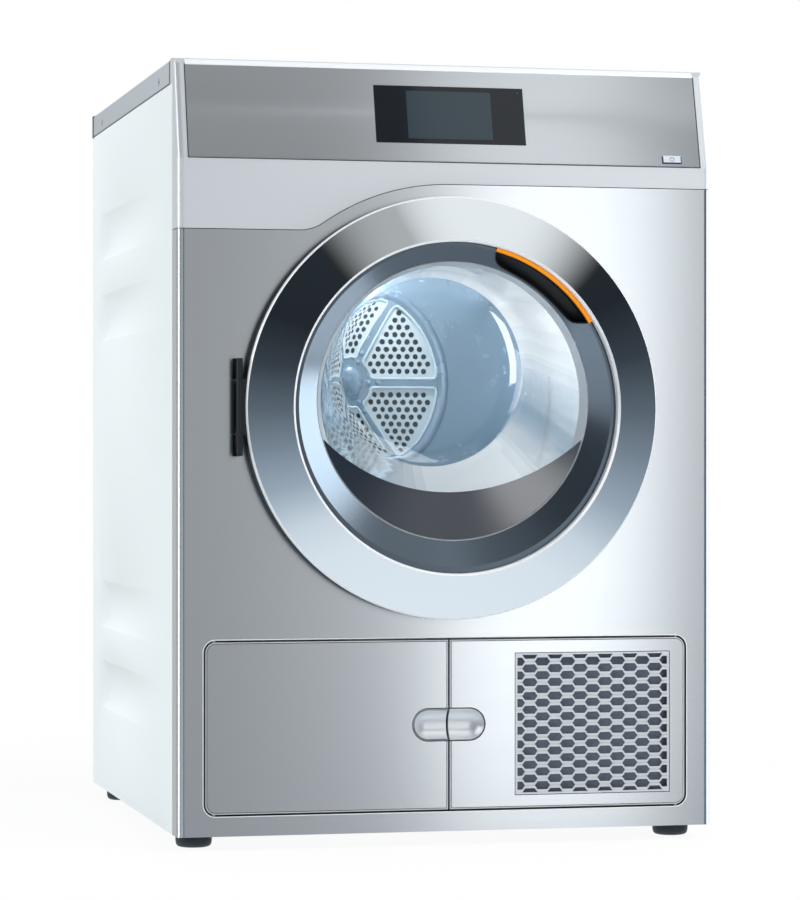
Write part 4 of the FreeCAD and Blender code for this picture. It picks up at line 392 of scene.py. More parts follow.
# Door glass: an oblique bowl with a rolled shoulder and a slightly domed end
bowl = {
    "outside": [(0.1538, -0.3258), (0.1492, -0.315), (0.1415, -0.296), (0.1325, -0.272), (0.1245, -0.249),
                (0.1185, -0.233), (0.1135, -0.2245), (0.1075, -0.2182), (0.1005, -0.2142), (0.0925, -0.2113),
                (0.083, -0.2093), (0.066, -0.2082), (0.035, -0.2077), (0.0, -0.2076)],  # radius and depth
    "wall": 0.0045, "steps": 128,
    "rimHeight": 0.4816, "endHeight": 0.5160,  # axis at the rim and from the shoulder on
    "rimDepth": -0.326, "shoulderDepth": -0.227, "paintedLightFrom": 0.1040,
    "haze": [(0, 0.75), (30, 0.9), (58, 1.0), (78, 0.75), (96, 0.3), (112, 0.1), (125, 0.45), (140, 0.85),
             (180, 0.85), (200, 0.5), (235, 0.0), (325, 0.0), (345, 0.45), (360, 0.75)],  # clock and share of painted light
    "bezel": [(0.1508, -0.3285, 0.4816), (0.1446, -0.3165, 0.4842), (0.1440, -0.3172, 0.4842),
              (0.1500, -0.3290, 0.4816)],  # radius, depth and axis height
}


def bowlAxis(y):
    share = min(max((y - bowl["rimDepth"]) / (bowl["shoulderDepth"] - bowl["rimDepth"]), 0), 1)
    return bowl["rimHeight"] + share * (bowl["endHeight"] - bowl["rimHeight"])


profile = [(r, y, bowlAxis(y)) for r, y in bowl["outside"]]
last = len(bowl["outside"]) - 1
for i in range(last, -1, -1):  # inner face, offset along the profile's normal
    r, y = bowl["outside"][i]
    before, after = bowl["outside"][max(i - 1, 0)], bowl["outside"][min(i + 1, last)]
    along = Vector((after[0] - before[0], after[1] - before[1])).normalized()
    inner = Vector((r, y)) + bowl["wall"] * Vector((-along.y, along.x))
    profile.append((max(inner.x, 0), max(inner.y, bowl["rimDepth"]), bowlAxis(y)))
mesh = latheMesh(profile, bowl["steps"])
glassBowl = addPiece("glassBowl", *mesh, pressedGlass, "door", "door_glass", ["door_glass"])
for paintedLightGlass in paintedLightGrades:
    glassBowl.data.materials.append(paintedLightGlass)
for face in glassBowl.data.polygons:  # painted light: the side wall turns white by clock angle, fading out on its left
    spot = face.center
    across, up = spot.x, spot.z - bowlAxis(spot.y)
    clock = math.degrees(math.atan2(across, up)) % 360
    for (start, low), (end, high) in zip(bowl["haze"], bowl["haze"][1:]):
        if start <= clock <= end and math.hypot(across, up) > bowl["paintedLightFrom"]:
            haze = low + (high - low) * (clock - start) / (end - start)
            face.material_index = round(haze * len(paintedLightGrades))
addPiece("bowlBezel", *latheMesh(bowl["bezel"], bowl["steps"]), silverAbs, "door", "ring_satin")
print("door glass done")


# Outer ring: chrome cone whose turned edge and inner bevel are pale, as a painted highlight, and a black skirt behind
ring = {
    "height": 0.4744, "steps": 240, "sharp": 24,
    "cone": [(0.2262, -0.3325), (0.2148, -0.3378), (0.2034, -0.3430), (0.192, -0.3481), (0.1806, -0.353),
             (0.1806, -0.350), (0.2255, -0.3300)],  # radius and depth
    "edge": [(0.228, -0.3255), (0.228, -0.3299), (0.2268, -0.3320), (0.2262, -0.3325), (0.2255, -0.3300),
             (0.2255, -0.3255)],
    "bevel": [(0.1806, -0.353), (0.1782, -0.3507), (0.178, -0.35), (0.178, -0.342), (0.1795, -0.342),
              (0.1806, -0.350)],
    "skirt": [(0.2277, -0.3257), (0.2277, -0.3096), (0.2271, -0.309), (0.2235, -0.309), (0.2235, -0.3257)],
}
for name, part, finish, slot, replaced in (("chromeRing", "cone", chromePlate, "ring_chrome", ["door_outer_ring"]),
                                           ("brightEdge", "edge", paintedHighlight, "ring_chrome", []),
                                           ("brightBevel", "bevel", paintedHighlight, "ring_chrome", []),
                                           ("doorSkirt", "skirt", blackMoulding, "black_plastic", [])):
    profile = [(r, y, ring["height"]) for r, y in ring[part]]
    addPiece(name, *latheMesh(profile, ring["steps"]), finish, "door", slot, replaced, ring["sharp"])
print("chrome ring done")


# Inner ring: a flat lip and an oblique cone, with the rounded mouth of the handle cut in
innerRing = {
    "lip": (0.4744, 0.1776, -0.342), "fold": (0.4758, 0.1727, -0.342), "edge": (0.4816, 0.1509, -0.329),
    "lipShare": -0.25, "step": 2.0, "wall": 0.0014,  # share runs from the lip past 0 at the fold to 1 at the edge
    "radius": 0.165, "width": 0.0255, "margin": 1.0,  # of the cone laid flat; degrees kept free by the mouth
    "mouth": [(14.7, -0.17), (14.75, 0.0), (15.0, 0.14), (15.7, 0.36), (16.5, 0.54), (17.7, 0.67), (19.2, 0.76),
              (21.5, 0.82), (24.5, 0.855), (28.0, 0.865), (32.0, 0.865), (36.0, 0.86), (40.0, 0.855), (44.0, 0.845),
              (47.5, 0.83), (50.5, 0.81), (53.0, 0.775), (54.8, 0.72), (56.1, 0.62), (56.9, 0.46), (57.4, 0.28),
              (57.8, 0.12), (57.9, 0.0), (57.9, -0.17), (53.0, -0.17), (48.0, -0.17), (43.0, -0.17), (38.0, -0.17),
              (33.0, -0.17), (28.0, -0.17), (23.0, -0.17), (18.5, -0.17)],  # clock angle and share
    "hollow": [(1.0, 0.0), (0.985, 0.004), (0.95, 0.010), (0.86, 0.0165)],  # shrink and depth
    "hollowLength": 0.25, "hollowWall": 0.0012,  # share of the shrink that the length gets
}


def onRing(clock, share, deeper=0.0):
    end, part = ("edge", share) if share >= 0 else ("lip", share / innerRing["lipShare"])
    height, radius, depth = pointBetween(innerRing["fold"], innerRing[end], part)
    t = math.radians(clock)
    return radius * math.sin(t), depth + deeper, height + radius * math.cos(t)


flat, edges = [], []
stretch = innerRing["radius"] * math.pi / 180  # metres of ring for one degree
clocks = [c for c, _ in innerRing["mouth"]]
low, high = min(clocks) - innerRing["margin"], max(clocks) + innerRing["margin"]
row = [-180 + innerRing["step"] * i for i in range(int(360 / innerRing["step"]) + 1)]
for share in (innerRing["lipShare"], 0.0, 1.0):
    spots = [c for c in row if share != 0.0 or not low < c < high]
    start = len(flat)
    flat += [Vector((c * stretch, share * innerRing["width"])) for c in spots]
    edges += [(start + i, start + i + 1) for i in range(len(spots) - 1)
              if spots[i + 1] - spots[i] < innerRing["step"] * 1.5]
start, count = len(flat), len(clocks)
flat += [Vector((c * stretch, share * innerRing["width"])) for c, share in innerRing["mouth"]]
edges += [(start + i, start + (i + 1) % count) for i in range(count)]
points, _, triangles, _, _, _ = delaunay_2d_cdt(flat, edges, [], 0, 1e-8)
mouth = [tuple(p) for p in flat[start:]]
faces = [tuple(t) for t in triangles if not insideLoop(sum((points[i] for i in t), Vector((0, 0))) / 3, mouth)]
verts = [onRing(p.x / stretch, p.y / innerRing["width"]) for p in points]
addPiece("innerRing", verts, faces, satinChrome, "door", "ring_satin", ["door_inner_ring"], sharp=15,
         wall=innerRing["wall"])
middle = [sum(p[i] for p in innerRing["mouth"]) / count for i in (0, 1)]
rings = []
for shrink, deep in innerRing["hollow"]:
    length = 1 - (1 - shrink) * innerRing["hollowLength"]
    rings.append([onRing(middle[0] + (c - middle[0]) * length, middle[1] + (share - middle[1]) * shrink, deep)
                  for c, share in innerRing["mouth"]])
addPiece("handleHollow", *loftMesh(rings, firstEnd=False), blackMoulding, "door", "black_plastic", ["handle_pocket"],
         wall=innerRing["hollowWall"])
print("inner ring and handle hollow done")


# Handle: the coloured strip under the ring's inner edge
accent = {"from": 14.5, "to": 58.0, "steps": 48, "height": 0.4744,
          "section": (0.1738, -0.3452, 0.1776, -0.3415)}  # radius and depth at two corners
rings = []
for step in range(accent["steps"] + 1):
    t = math.radians(accent["from"] + (accent["to"] - accent["from"]) * step / accent["steps"])
    rings.append([(r * math.sin(t), y, accent["height"] + r * math.cos(t)) for r, y in rectLoop(*accent["section"])])
addPiece("handleStrip", *loftMesh(rings), orangeAbs, "door", "accent_orange", ["handle_accent"])
print("handle strip done")


# Hinge: slim black knuckles tucked behind the ring's left edge
hinge = {"axis": (-0.234, -0.327), "radius": 0.0034, "low": 0.4224, "high": 0.5264, "armLow": 0.4447,
         "armHigh": 0.5041, "foot": (-0.2318, -0.2286), "panel": -0.3062, "reach": -0.2256,
         "webHalf": 0.002, "armFront": 0.0016, "armBack": 0.0022, "gap": 0.0006}
axisX, axisY = hinge["axis"]
knuckle = circleLoop(hinge["axis"], hinge["radius"])
near, far = hinge["foot"]
leafWeb = [(axisX - hinge["webHalf"], axisY), (axisX + hinge["webHalf"], axisY), (far, hinge["panel"]),
           (near, hinge["panel"])]
armWeb = rectLoop(axisX, axisY - hinge["armFront"], hinge["reach"], axisY + hinge["armBack"])
leaf, arm = ([], []), ([], [])
for mesh, low, high, web in ((leaf, hinge["low"], hinge["armLow"] - hinge["gap"], leafWeb),
                             (leaf, hinge["armHigh"] + hinge["gap"], hinge["high"], leafWeb),
                             (arm, hinge["armLow"], hinge["armHigh"], armWeb)):
    for outline in (knuckle, web):
        joinMesh(mesh, loftMesh([[(x, y, z) for x, y in outline] for z in (low, high)]))
addPiece("hingeLeaf", *leaf, blackMoulding, "casing", "black_plastic", ["hinge_bracket", "hinge_pin"])
addPiece("hingeArm", *arm, blackMoulding, "door", "black_plastic", ["door_hinge_arm"])
print("hinge done")


# Service flaps: steel skins let into a moulded rim, a fine dark ring round each skin as painted shade of its groove,
# hollowed grips
flaps = {
    "split": 0.0011, "side": 0.2673, "foot": 0.0397, "head": 0.2233, "corner": 0.0108, "face": -0.307,
    "rim": 0.0018, "shadeRing": 0.0007, "shadeRingProud": 0.0001, "skinProud": 0.0004, "seat": 0.0003,
    "gripHeight": 0.1316, "gripRadius": 0.0164, "gripEnd": 0.0228, "gripDepth": 0.0085, "gripGap": 0.0002,
    "gripLine": 0.0007, "lineDepth": 0.0012, "gripRows": 14, "gripCurve": 2.6, "gripWall": 0.001,
    "surround": (0.0022, 0.0031), "surroundProud": 0.0003, "surroundDepth": 0.001,
    "window": (0.0746, 0.054, 0.2496, 0.2078), "windowEdge": 0.0008,  # left, foot, right and head of the grille
}


def flapSkin(sign, inset):  # outline of one skin, pulled in from the flap's edge
    near, far = flaps["split"] + inset, flaps["side"] - inset
    low, high, bend = flaps["foot"] + inset, flaps["head"] - inset, flaps["corner"] - inset
    grip, end, mid = flaps["gripRadius"] + inset, flaps["gripEnd"], flaps["gripHeight"]
    loop = [(near, low)] + arcPoints((far - bend, low + bend), bend, -90, 0)
    loop += arcPoints((far - bend, high - bend), bend, 0, 90) + [(near, high), (near, mid + grip)]
    loop += arcPoints((end, mid), grip, 90, -90, 24) + [(near, mid - grip)]
    return [(sign * x, z) for x, z in loop]


def gripLoop(radius):  # mouth of a grip, cut off at the split
    near, mid = flaps["split"] + flaps["gripGap"], flaps["gripHeight"]
    return [(near, mid + radius)] + arcPoints((flaps["gripEnd"], mid), radius, 90, -90, 40) + [(near, mid - radius)]


face = flaps["face"]
for side, sign in (("left", -1), ("right", 1)):
    body = side + "_flap"
    # The dark ring under each skin is painted shade standing for its groove
    for kind, inset, proud, edge, finish, slot in (
            ("ShadeRing", flaps["rim"] - flaps["shadeRing"], flaps["shadeRingProud"], 0.0, greyNylon, "dark_plastic"),
            ("Skin", flaps["rim"], flaps["skinProud"], flaps["windowEdge"], brushedSteel, "front_steel")):
        loops = [flapSkin(sign, inset)]
        if sign > 0:
            loops.append(rectLoop(*flaps["window"], edge))
        addPiece(side + "Flap" + kind, *plateMesh(loops, face - proud, face + flaps["seat"]), finish, body, slot)
    mouth, verts, rows = gripLoop(flaps["gripRadius"]), [], flaps["gripRows"]
    for row in range(rows + 1):
        share = row / rows
        deep = flaps["gripDepth"] * (1 - share ** flaps["gripCurve"])
        for x, z in mouth:
            spine = min(x, flaps["gripEnd"])
            verts.append((sign * (spine + (x - spine) * share), face + deep,
                          flaps["gripHeight"] + (z - flaps["gripHeight"]) * share))
    faces = gridFaces(rows + 1, len(mouth), closeCount=False)
    addPiece(side + "GripScoop", verts, faces, gripLacquer, body, "vent_plastic", sharp=80, wall=flaps["gripWall"])
    if sign < 0:  # a dark band inside the left grip's edge paints the shade of its step, seen as a fine dark line
        band = [(-x, z) for x, z in mouth + gripLoop(flaps["gripRadius"] - flaps["gripLine"])[::-1]]
        addPiece("leftGripShadeLine", *plateMesh([band], face - flaps["shadeRingProud"], face + flaps["lineDepth"]), greyNylon,
                 body, "dark_plastic")
# A pale ring round the flaps paints the highlight on the edge of the opening in the front steel
loops = []
for gap in flaps["surround"][::-1]:
    far, low, high, bend = (flaps["side"] + gap, flaps["foot"] - gap, flaps["head"] + gap, flaps["corner"] + gap)
    loop = []
    for sx, z, turn in ((1, low, -90), (1, high, 0), (-1, high, 90), (-1, low, 180)):
        loop += arcPoints((sx * (far - bend), z + (bend if z == low else -bend)), bend, turn, turn + 90)
    loops.append(loop)
addPiece("flapSurround", *plateMesh(loops, face - flaps["surroundProud"], face + flaps["surroundDepth"]),
         paintedHighlight, "casing", "front_steel")
print("flap skins, grips and surround done")


# Vent grille: staggered long hexagons cut off at the frame, shallow pockets in the lands, foam behind
grille = {
    "left": 0.0768, "foot": 0.056, "right": 0.2474, "head": 0.206,
    "pitch": 0.02843, "row": 0.0075, "rows": 21, "columns": 13, "slant": 0.72,  # slant: run of an end for its rise
    "open": (0.0175, 0.0089), "pocket": (0.0118, 0.0013), "pocketMargin": 0.002,
    "face": -0.3072, "pocketDepth": 0.0009, "back": -0.3053, "foam": (-0.2985, -0.2965),
}


def clipLoop(loop, axis, limit, keepBelow):
    kept = []
    for a, b in neighbours(loop):
        inA = a[axis] <= limit if keepBelow else a[axis] >= limit
        inB = b[axis] <= limit if keepBelow else b[axis] >= limit
        if inA:
            kept.append(a)
        if inA != inB:
            kept.append(pointBetween(a, b, (limit - a[axis]) / (b[axis] - a[axis])))
    return kept


def hexLoop(x, z, size):
    half, tall = size[0] / 2, size[1] / 2
    flat = half - tall * grille["slant"]
    loop = [(x - half, z), (x - flat, z - tall), (x + flat, z - tall), (x + half, z), (x + flat, z + tall),
            (x - flat, z + tall)]
    for axis, limit, below in ((0, grille["left"], False), (0, grille["right"], True),
                               (1, grille["foot"], False), (1, grille["head"], True)):
        loop = clipLoop(loop, axis, limit, below)
    return loop


cells, lands = [], []
for row in range(grille["rows"]):
    z = grille["head"] - row * grille["row"]
    for n in range(grille["columns"]):
        spot = (grille["left"] + n * grille["pitch"] / 2, z)
        (lands if (n + row) % 2 == 0 else cells).append(spot)
outer = rectLoop(*flaps["window"])
openings = [hexLoop(x, z, grille["open"]) for x, z in cells]
low, high = grille["foot"] + grille["pocketMargin"], grille["head"] - grille["pocketMargin"]
pockets = [hexLoop(x, z, grille["pocket"]) for x, z in lands if low < z < high]
shelf = grille["face"] + grille["pocketDepth"]
lattice = plateMesh([outer] + openings + pockets, grille["face"], shelf)
joinMesh(lattice, plateMesh([outer] + openings, shelf, grille["back"]))
addPiece("ventGrille", *lattice, silverAbs, "right_flap", "vent_plastic", ["vent_grille"])
addPiece("grilleFoam", *plateMesh([outer], *grille["foam"]), filterFoam, "right_flap", "dark_plastic")
print("grille done:", len(cells), "cells")


# Drum rear wall: six recessed perforated sectors, rolled borders, hub with rivets
drumBack = {
    "height": 0.515, "radius": 0.2695, "face": 0.2345, "thick": 0.0015, "recess": 0.004, "sieve": 0.001, "turn": 60,
    "sectorIn": 0.034, "sectorOut": 0.1185, "spoke": 0.0056, "border": 0.0017, "step": 0.012,
    "hole": 0.0036, "pitch": 0.0106, "row": 0.866, "rim": 0.0011,  # row: share of the pitch between rows
    "ringIn": 0.1205, "ringOut": 0.1335, "ringProud": 0.0045, "seat": 0.0005, "void": (0.2402, 0.2407),
    "hub": (0.022, 0.007), "rivet": (0.0037, 0.00259), "rivetRadii": (0.03, 0.043),  # radius and rise
}


def rounded(loop, times):  # corner cutting
    for _ in range(times):
        loop = [pointBetween(a, b, share) for a, b in neighbours(loop) for share in (0.25, 0.75)]
    return loop


def sectorLoop(turn):
    inner, outer, half = drumBack["sectorIn"], drumBack["sectorOut"], drumBack["spoke"]
    leanIn, leanOut = math.degrees(math.asin(half / inner)), math.degrees(math.asin(half / outer))
    centre = (0, drumBack["height"])
    loop = arcPoints(centre, outer, turn + leanOut, turn + drumBack["turn"] - leanOut, 7)
    loop += arcPoints(centre, inner, turn + drumBack["turn"] - leanIn, turn + leanIn, 3)
    fine = []
    for a, b in neighbours(loop):  # short steps along the sides keep the corners tight
        steps = max(1, round(math.dist(a, b) / drumBack["step"]))
        fine += [pointBetween(a, b, i / steps) for i in range(steps)]
    return rounded(fine, 2)


def tubeMesh(loop, y, radius, sides=8):
    verts, count = [], len(loop)
    for i, (x, z) in enumerate(loop):
        (ax, az), (bx, bz) = loop[i - 1], loop[(i + 1) % count]
        out = Vector((bz - az, 0, ax - bx)).normalized()
        for k in range(sides):
            t = 2 * math.pi * k / sides
            verts.append(Vector((x, y, z)) + radius * (math.cos(t) * out + Vector((0, math.sin(t), 0))))
    return verts, gridFaces(count, sides, closeRows=True)


axisHeight, face, pitch = drumBack["height"], drumBack["face"], drumBack["pitch"]
deep, seat = face + drumBack["recess"], face + drumBack["seat"]
turns = range(0, 360, drumBack["turn"])
sectors = [sectorLoop(turn) for turn in turns]
edge = circleLoop((0, axisHeight), drumBack["radius"], 120)
wall = plateMesh([edge] + sectors, face, face + drumBack["thick"])
sieve = ([], [])
for loop in sectors:
    xs, zs = [p[0] for p in loop], [p[1] for p in loop]
    holes = []
    for row in range(int((max(zs) - min(zs)) / (pitch * drumBack["row"])) + 1):
        z = min(zs) + row * pitch * drumBack["row"]
        for column in range(int((max(xs) - min(xs)) / pitch) + 1):
            x = min(xs) + (column + row % 2 / 2) * pitch
            clear = min(math.hypot(x - a, z - b) for a, b in loop)
            if insideLoop((x, z), loop) and clear > drumBack["hole"] + drumBack["rim"]:
                holes.append(circleLoop((x, z), drumBack["hole"], 10))
    joinMesh(sieve, plateMesh([loop] + holes, deep, deep + drumBack["sieve"]))
    joinMesh(wall, loftMesh([[(x, y, z) for x, z in loop] for y in (face, deep)], False, False))
    joinMesh(sieve, tubeMesh(loop, face, drumBack["border"]))
inner, outer = drumBack["ringIn"], drumBack["ringOut"]
bead = [(inner + (outer - inner) * i / 10, face - drumBack["ringProud"] * math.sin(math.pi * i / 10), axisHeight)
        for i in range(11)] + [((inner + outer) / 2, seat, axisHeight)]
joinMesh(wall, latheMesh(bead, 128))
domes = [(0, axisHeight, *drumBack["hub"])]
domes += [(r * math.cos(t), axisHeight + r * math.sin(t), *drumBack["rivet"])
          for t in map(math.radians, turns) for r in drumBack["rivetRadii"]]
for x, z, radius, proud in domes:
    arc = [(radius * math.cos(t), face - proud * math.sin(t), z) for t in [math.pi / 2 * i / 6 for i in range(7)]]
    joinMesh(wall, latheMesh(arc + [(0, seat, z), (radius, seat, z)], 24, x))
# A black disc close behind the sieve paints the shade seen through its holes
void = circleLoop((0, axisHeight), drumBack["ringIn"], 60)
addPiece("drumVoid", *plateMesh([void], *drumBack["void"]), blackMoulding, "drum", "black_plastic")
addPiece("drumSieve", *sieve, sieveSteel, "drum", "drum_steel")
addPiece("drumBack", *wall, pressedSteel, "drum", "drum_steel", ["drum_rear_wall"])
print("drum rear wall done")


# Drum lifters: three smooth paddles with rounded ends
lifter = {"turns": (60, 180, 300), "from": -0.203, "to": 0.217, "foot": 0.033, "tall": 0.056, "seat": 0.2715,
          "end": 0.07, "stations": 30, "ribs": 18, "crest": (2.2, 1.1), "tip": 0.35}  # crest: powers of its section
paddle, tip, (bend, fall) = ([], []), lifter["tip"], lifter["crest"]
start, end, stations, ribs = lifter["from"], lifter["to"], lifter["stations"], lifter["ribs"]
for turn in lifter["turns"]:
    t = math.radians(turn)
    across, inward = Vector((math.cos(t), 0, -math.sin(t))), Vector((-math.sin(t), 0, -math.cos(t)))
    verts = []
    for i in range(stations + 1):
        y = start + (end - start) * i / stations
        near = min(y - start, end - y) / lifter["end"]
        swell = math.sqrt(max(1 - (1 - min(near, 1)) ** 2, 0))
        for k in range(ribs + 1):
            u = -1 + 2 * k / ribs
            rise = lifter["tall"] * swell * (1 - abs(u) ** bend) ** fall
            width = lifter["foot"] * (tip + (1 - tip) * swell) * u
            seat = math.sqrt(lifter["seat"] ** 2 - width ** 2)
            verts.append(Vector((0, y, axisHeight)) - inward * (seat - rise) + across * width)
    joinMesh(paddle, (verts, gridFaces(stations + 1, ribs + 1, closeCount=False)))
addPiece("drumPaddles", *paddle, lifterPlastic, "drum", "lifter_plastic", ["drum_lifters"], sharp=60)
print("lifters done")


# Display: live screen and light sensor on the leaning glass
screen = {"live": (-0.0434, 0.0264, 0.0513, 0.0815), "sensor": (0.082, 0.082), "dot": 0.0013,
          "foot": (-0.307, 0.741), "lean": 14.9, "proud": 0.00025, "seat": 0.0002}
leanSin, leanCos = math.sin(math.radians(screen["lean"])), math.cos(math.radians(screen["lean"]))
footY, footZ = screen["foot"]


def onSlope(mesh):  # from flat plate coordinates to the leaning face
    return [(x, footY + z * leanSin + y * leanCos, footZ + z * leanCos - y * leanSin) for x, y, z in mesh[0]], mesh[1]


def offSlope(node):  # the other way, for a solid's points
    return [(v.co.x, (v.co.y - footY) * leanCos - (v.co.z - footZ) * leanSin,
             (v.co.y - footY) * leanSin + (v.co.z - footZ) * leanCos) for v in cad[node].data.vertices]


glassFace = min(y for _, y, _ in offSlope("display"))
for name, outline in (("liveScreen", rectLoop(*screen["live"])),
                      ("lightSensor", circleLoop(screen["sensor"], screen["dot"], 12))):
    mesh = plateMesh([outline], glassFace - screen["proud"], glassFace + screen["seat"])
    addPiece(name, *onSlope(mesh), screenGlass, "casing", "display_black")
print("display done")


# Steel fascia plate: a fine dark joint on three sides and a rolled top edge, pale as a painted highlight
plate = {"half": 0.2852, "joint": 0.0011, "foot": 0.0004, "head": 0.1062, "jointDepth": (-0.0002, 0.0006),
         "roll": [(-0.2799, 0.8428), (-0.2799, 0.8442), (-0.2793, 0.8452), (-0.2780, 0.8463), (-0.2764, 0.8477),
                  (-0.2748, 0.8490), (-0.2732, 0.8498), (-0.2710, 0.85), (-0.2710, 0.8494), (-0.2780, 0.8440),
                  (-0.2786, 0.8428)]}  # depth and height
near, far, low, high = plate["half"], plate["half"] + plate["joint"], plate["foot"], plate["head"]
loop = [(-far, high), (-far, low - plate["joint"]), (far, low - plate["joint"]), (far, high), (near, high),
        (near, low), (-near, low), (-near, high)]
addPiece("plateJoint", *onSlope(plateMesh([loop], *plate["jointDepth"])), greyNylon, "casing", "dark_plastic")
rings = [[(x, y, z) for y, z in plate["roll"]] for x in (-near, near)]
addPiece("plateRoll", *loftMesh(rings), paintedHighlight, "casing", "front_steel", sharp=50)

# Power button: bevelled cap with a painted highlight on its top bevel, painted shade on its lower bevels, and a fine
# ring mark
button = {"bevel": (0.0011, 0.00088), "ringRadius": 0.0021, "ringWidth": 0.0005, "ringDepth": (-0.00008, 0.0003),
          "facing": 0.9, "upward": 0.3}  # turn of a face that keeps it plain or gives it the painted highlight; the rest get painted shade
(left, right), (front, back), (low, high) = [(min(c), max(c)) for c in zip(*offSlope("power_button"))]
wide, deep = button["bevel"]
rings = [[(x, y, z) for x, z in rectLoop(left, low, right, high, -inset)]
         for inset, y in ((0.0, back), (0.0, front + deep), (wide, front))]
cap = addPiece("buttonCap", *onSlope(loftMesh(rings)), paleAbs, "power_button", "button_plastic", ["power_button"])
cap.data.materials.append(paintedHighlight)
cap.data.materials.append(greyNylon)
# Painted highlight on the upward bevel, painted shade on the other bevels
for face in cap.data.polygons:
    up = face.normal.z * leanCos + face.normal.y * leanSin
    facing = face.normal.z * leanSin - face.normal.y * leanCos
    face.material_index = 0 if facing > button["facing"] else 1 if up > button["upward"] else 2
centre = ((left + right) / 2, (low + high) / 2)
loops = [circleLoop(centre, button["ringRadius"] + w) for w in (button["ringWidth"], 0.0)]
mesh = plateMesh(loops, *(front + y for y in button["ringDepth"]))
addPiece("buttonRing", *onSlope(mesh), greyNylon, "power_button", "dark_plastic")

# Seam between fascia and front panel: a black strip behind the gap, as painted shade seen in it
seam = {"below": 0.0032, "above": 0.0010, "front": -0.3054, "back": -0.3046,
        "plane": -0.307, "slack": 0.0002, "top": 0.7195}  # where the fascia's lower edge is looked for
lowest = {}
for v in cad["control_fascia"].data.vertices:
    if abs(v.co.y - seam["plane"]) < seam["slack"] and v.co.z < seam["top"]:
        x = round(v.co.x, 4)
        lowest[x] = min(lowest.get(x, 1.0), v.co.z)
section = rectLoop(seam["front"], -seam["below"], seam["back"], seam["above"])
rings = [[(x, y, z + lift) for y, lift in section] for x, z in sorted(lowest.items())]
addPiece("seamShadeStrip", *loftMesh(rings), blackMoulding, "casing", "black_plastic")
print("fascia details done")


# Levelling feet: threaded stem and a pad with a rolled lower edge
foot = {"pad": [(0.0, 0.0), (0.0150, 0.0), (0.0172, 0.0007), (0.0187, 0.0022), (0.0195, 0.0046), (0.0198, 0.0075),
                (0.0198, 0.0125), (0.0190, 0.0138), (0.0, 0.0138)],  # radius and height
        "stem": 0.0056, "stemFrom": 0.0136, "head": 0.0455, "pitch": 0.00175, "thread": 0.0005}
for name in ("front_left_foot", "front_right_foot", "rear_left_foot", "rear_right_foot"):
    low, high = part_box(name)
    centre = ((low[0] + high[0]) / 2, (low[1] + high[1]) / 2)
    z, out = foot["stemFrom"], False
    stem = [(0.0, z)]
    while z < foot["head"]:
        stem.append((foot["stem"] - (0.0 if out else foot["thread"]), z))
        z, out = z + foot["pitch"] / 2, not out
    mesh = uprightMesh(foot["pad"], centre, 48)
    joinMesh(mesh, uprightMesh(stem + [(0.0, foot["head"])], centre, 24))
    title = "".join(word.title() for word in name.split("_")) + "Pad"
    addPiece(title, *mesh, greyNylon, name, "dark_plastic", [name])
print("feet done")


# Side panels: sheet with four pressed beads, each with a long run-out to the front and a lens-shaped rear end
sidePanel = {
    "beads": (0.145, 0.243, 0.593, 0.692),  # heights
    "half": 0.029, "deep": 0.005, "sheet": 0.001, "flange": 0.016, "flangeFoot": 0.12,
    "rampEnd": 0.287, "ramp": 0.084, "tip": 0.006, "runFrom": 0.1, "runTo": -0.197,
    "lines": (-1, -0.96, -0.9, -0.8, -0.65, -0.5, -0.3, -0.1, 0.1, 0.3, 0.5, 0.65, 0.8, 0.9, 0.96, 1),  # across a bead
}


def boxMesh(low, high):
    verts = [(x, y, z) for x in (low[0], high[0]) for y in (low[1], high[1]) for z in (low[2], high[2])]
    return verts, [(0, 1, 3, 2), (4, 6, 7, 5), (0, 4, 5, 1), (2, 3, 7, 6), (0, 2, 6, 4), (1, 5, 7, 3)]


for name, node, sign in (("leftSidePanel", "left_side_panel", -1), ("rightSidePanel", "right_side_panel", 1)):
    low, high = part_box(node)
    face, sheet, run, tip = max(abs(low[0]), abs(high[0])), sidePanel["sheet"], sidePanel["runTo"], sidePanel["tip"]
    rows = [(low[2], 1)]
    for height in sidePanel["beads"]:
        rows += [(height + sidePanel["half"] * across, across) for across in sidePanel["lines"]]
    rows.append((high[2], 1))
    outside = []
    for z, across in rows:
        swell = math.sqrt(max(1 - across * across, 0))
        deepest = sidePanel["deep"] * swell ** 2
        end = sidePanel["rampEnd"] - tip * (1 - swell)
        ramp = tip + (sidePanel["ramp"] - tip) * swell
        line = [(low[1], 0), (run, 0)] + [(run + (sidePanel["runFrom"] - run) * i / 8, i / 8) for i in range(1, 9)]
        line += [(end - ramp * (1 - i / 6), 1 - i / 6) for i in range(7)] + [(high[1], 0)]
        outside.append([(face - deepest * share, y, z) for y, share in line])
    wide, count = len(outside[0]), len(outside) * len(outside[0])
    verts = [(sign * (x - back), y, z) for back in (0, sheet) for row in outside for x, y, z in row]
    faces = gridFaces(len(outside), wide, closeCount=False)
    faces += [tuple(count + v for v in reversed(quad)) for quad in faces]
    rim = list(range(wide)) + [i * wide + wide - 1 for i in range(1, len(outside))]
    rim += [count - 2 - k for k in range(wide - 1)] + [i * wide for i in range(len(outside) - 2, 0, -1)]
    faces += [(a, b, count + b, count + a) for a, b in neighbours(rim)]
    panel = (verts, faces)
    inner, skin = sign * (face - sidePanel["flange"]), sign * (face - sheet)
    joinMesh(panel, boxMesh((inner, low[1], high[2] - sheet), (skin, high[1], high[2])))
    joinMesh(panel, boxMesh((inner, high[1] - sheet, sidePanel["flangeFoot"]), (skin, high[1], high[2] - sheet)))
    addPiece(name, *panel, whitePowder, "casing", "side_paint", [node], sharp=20)
print("side panels done")


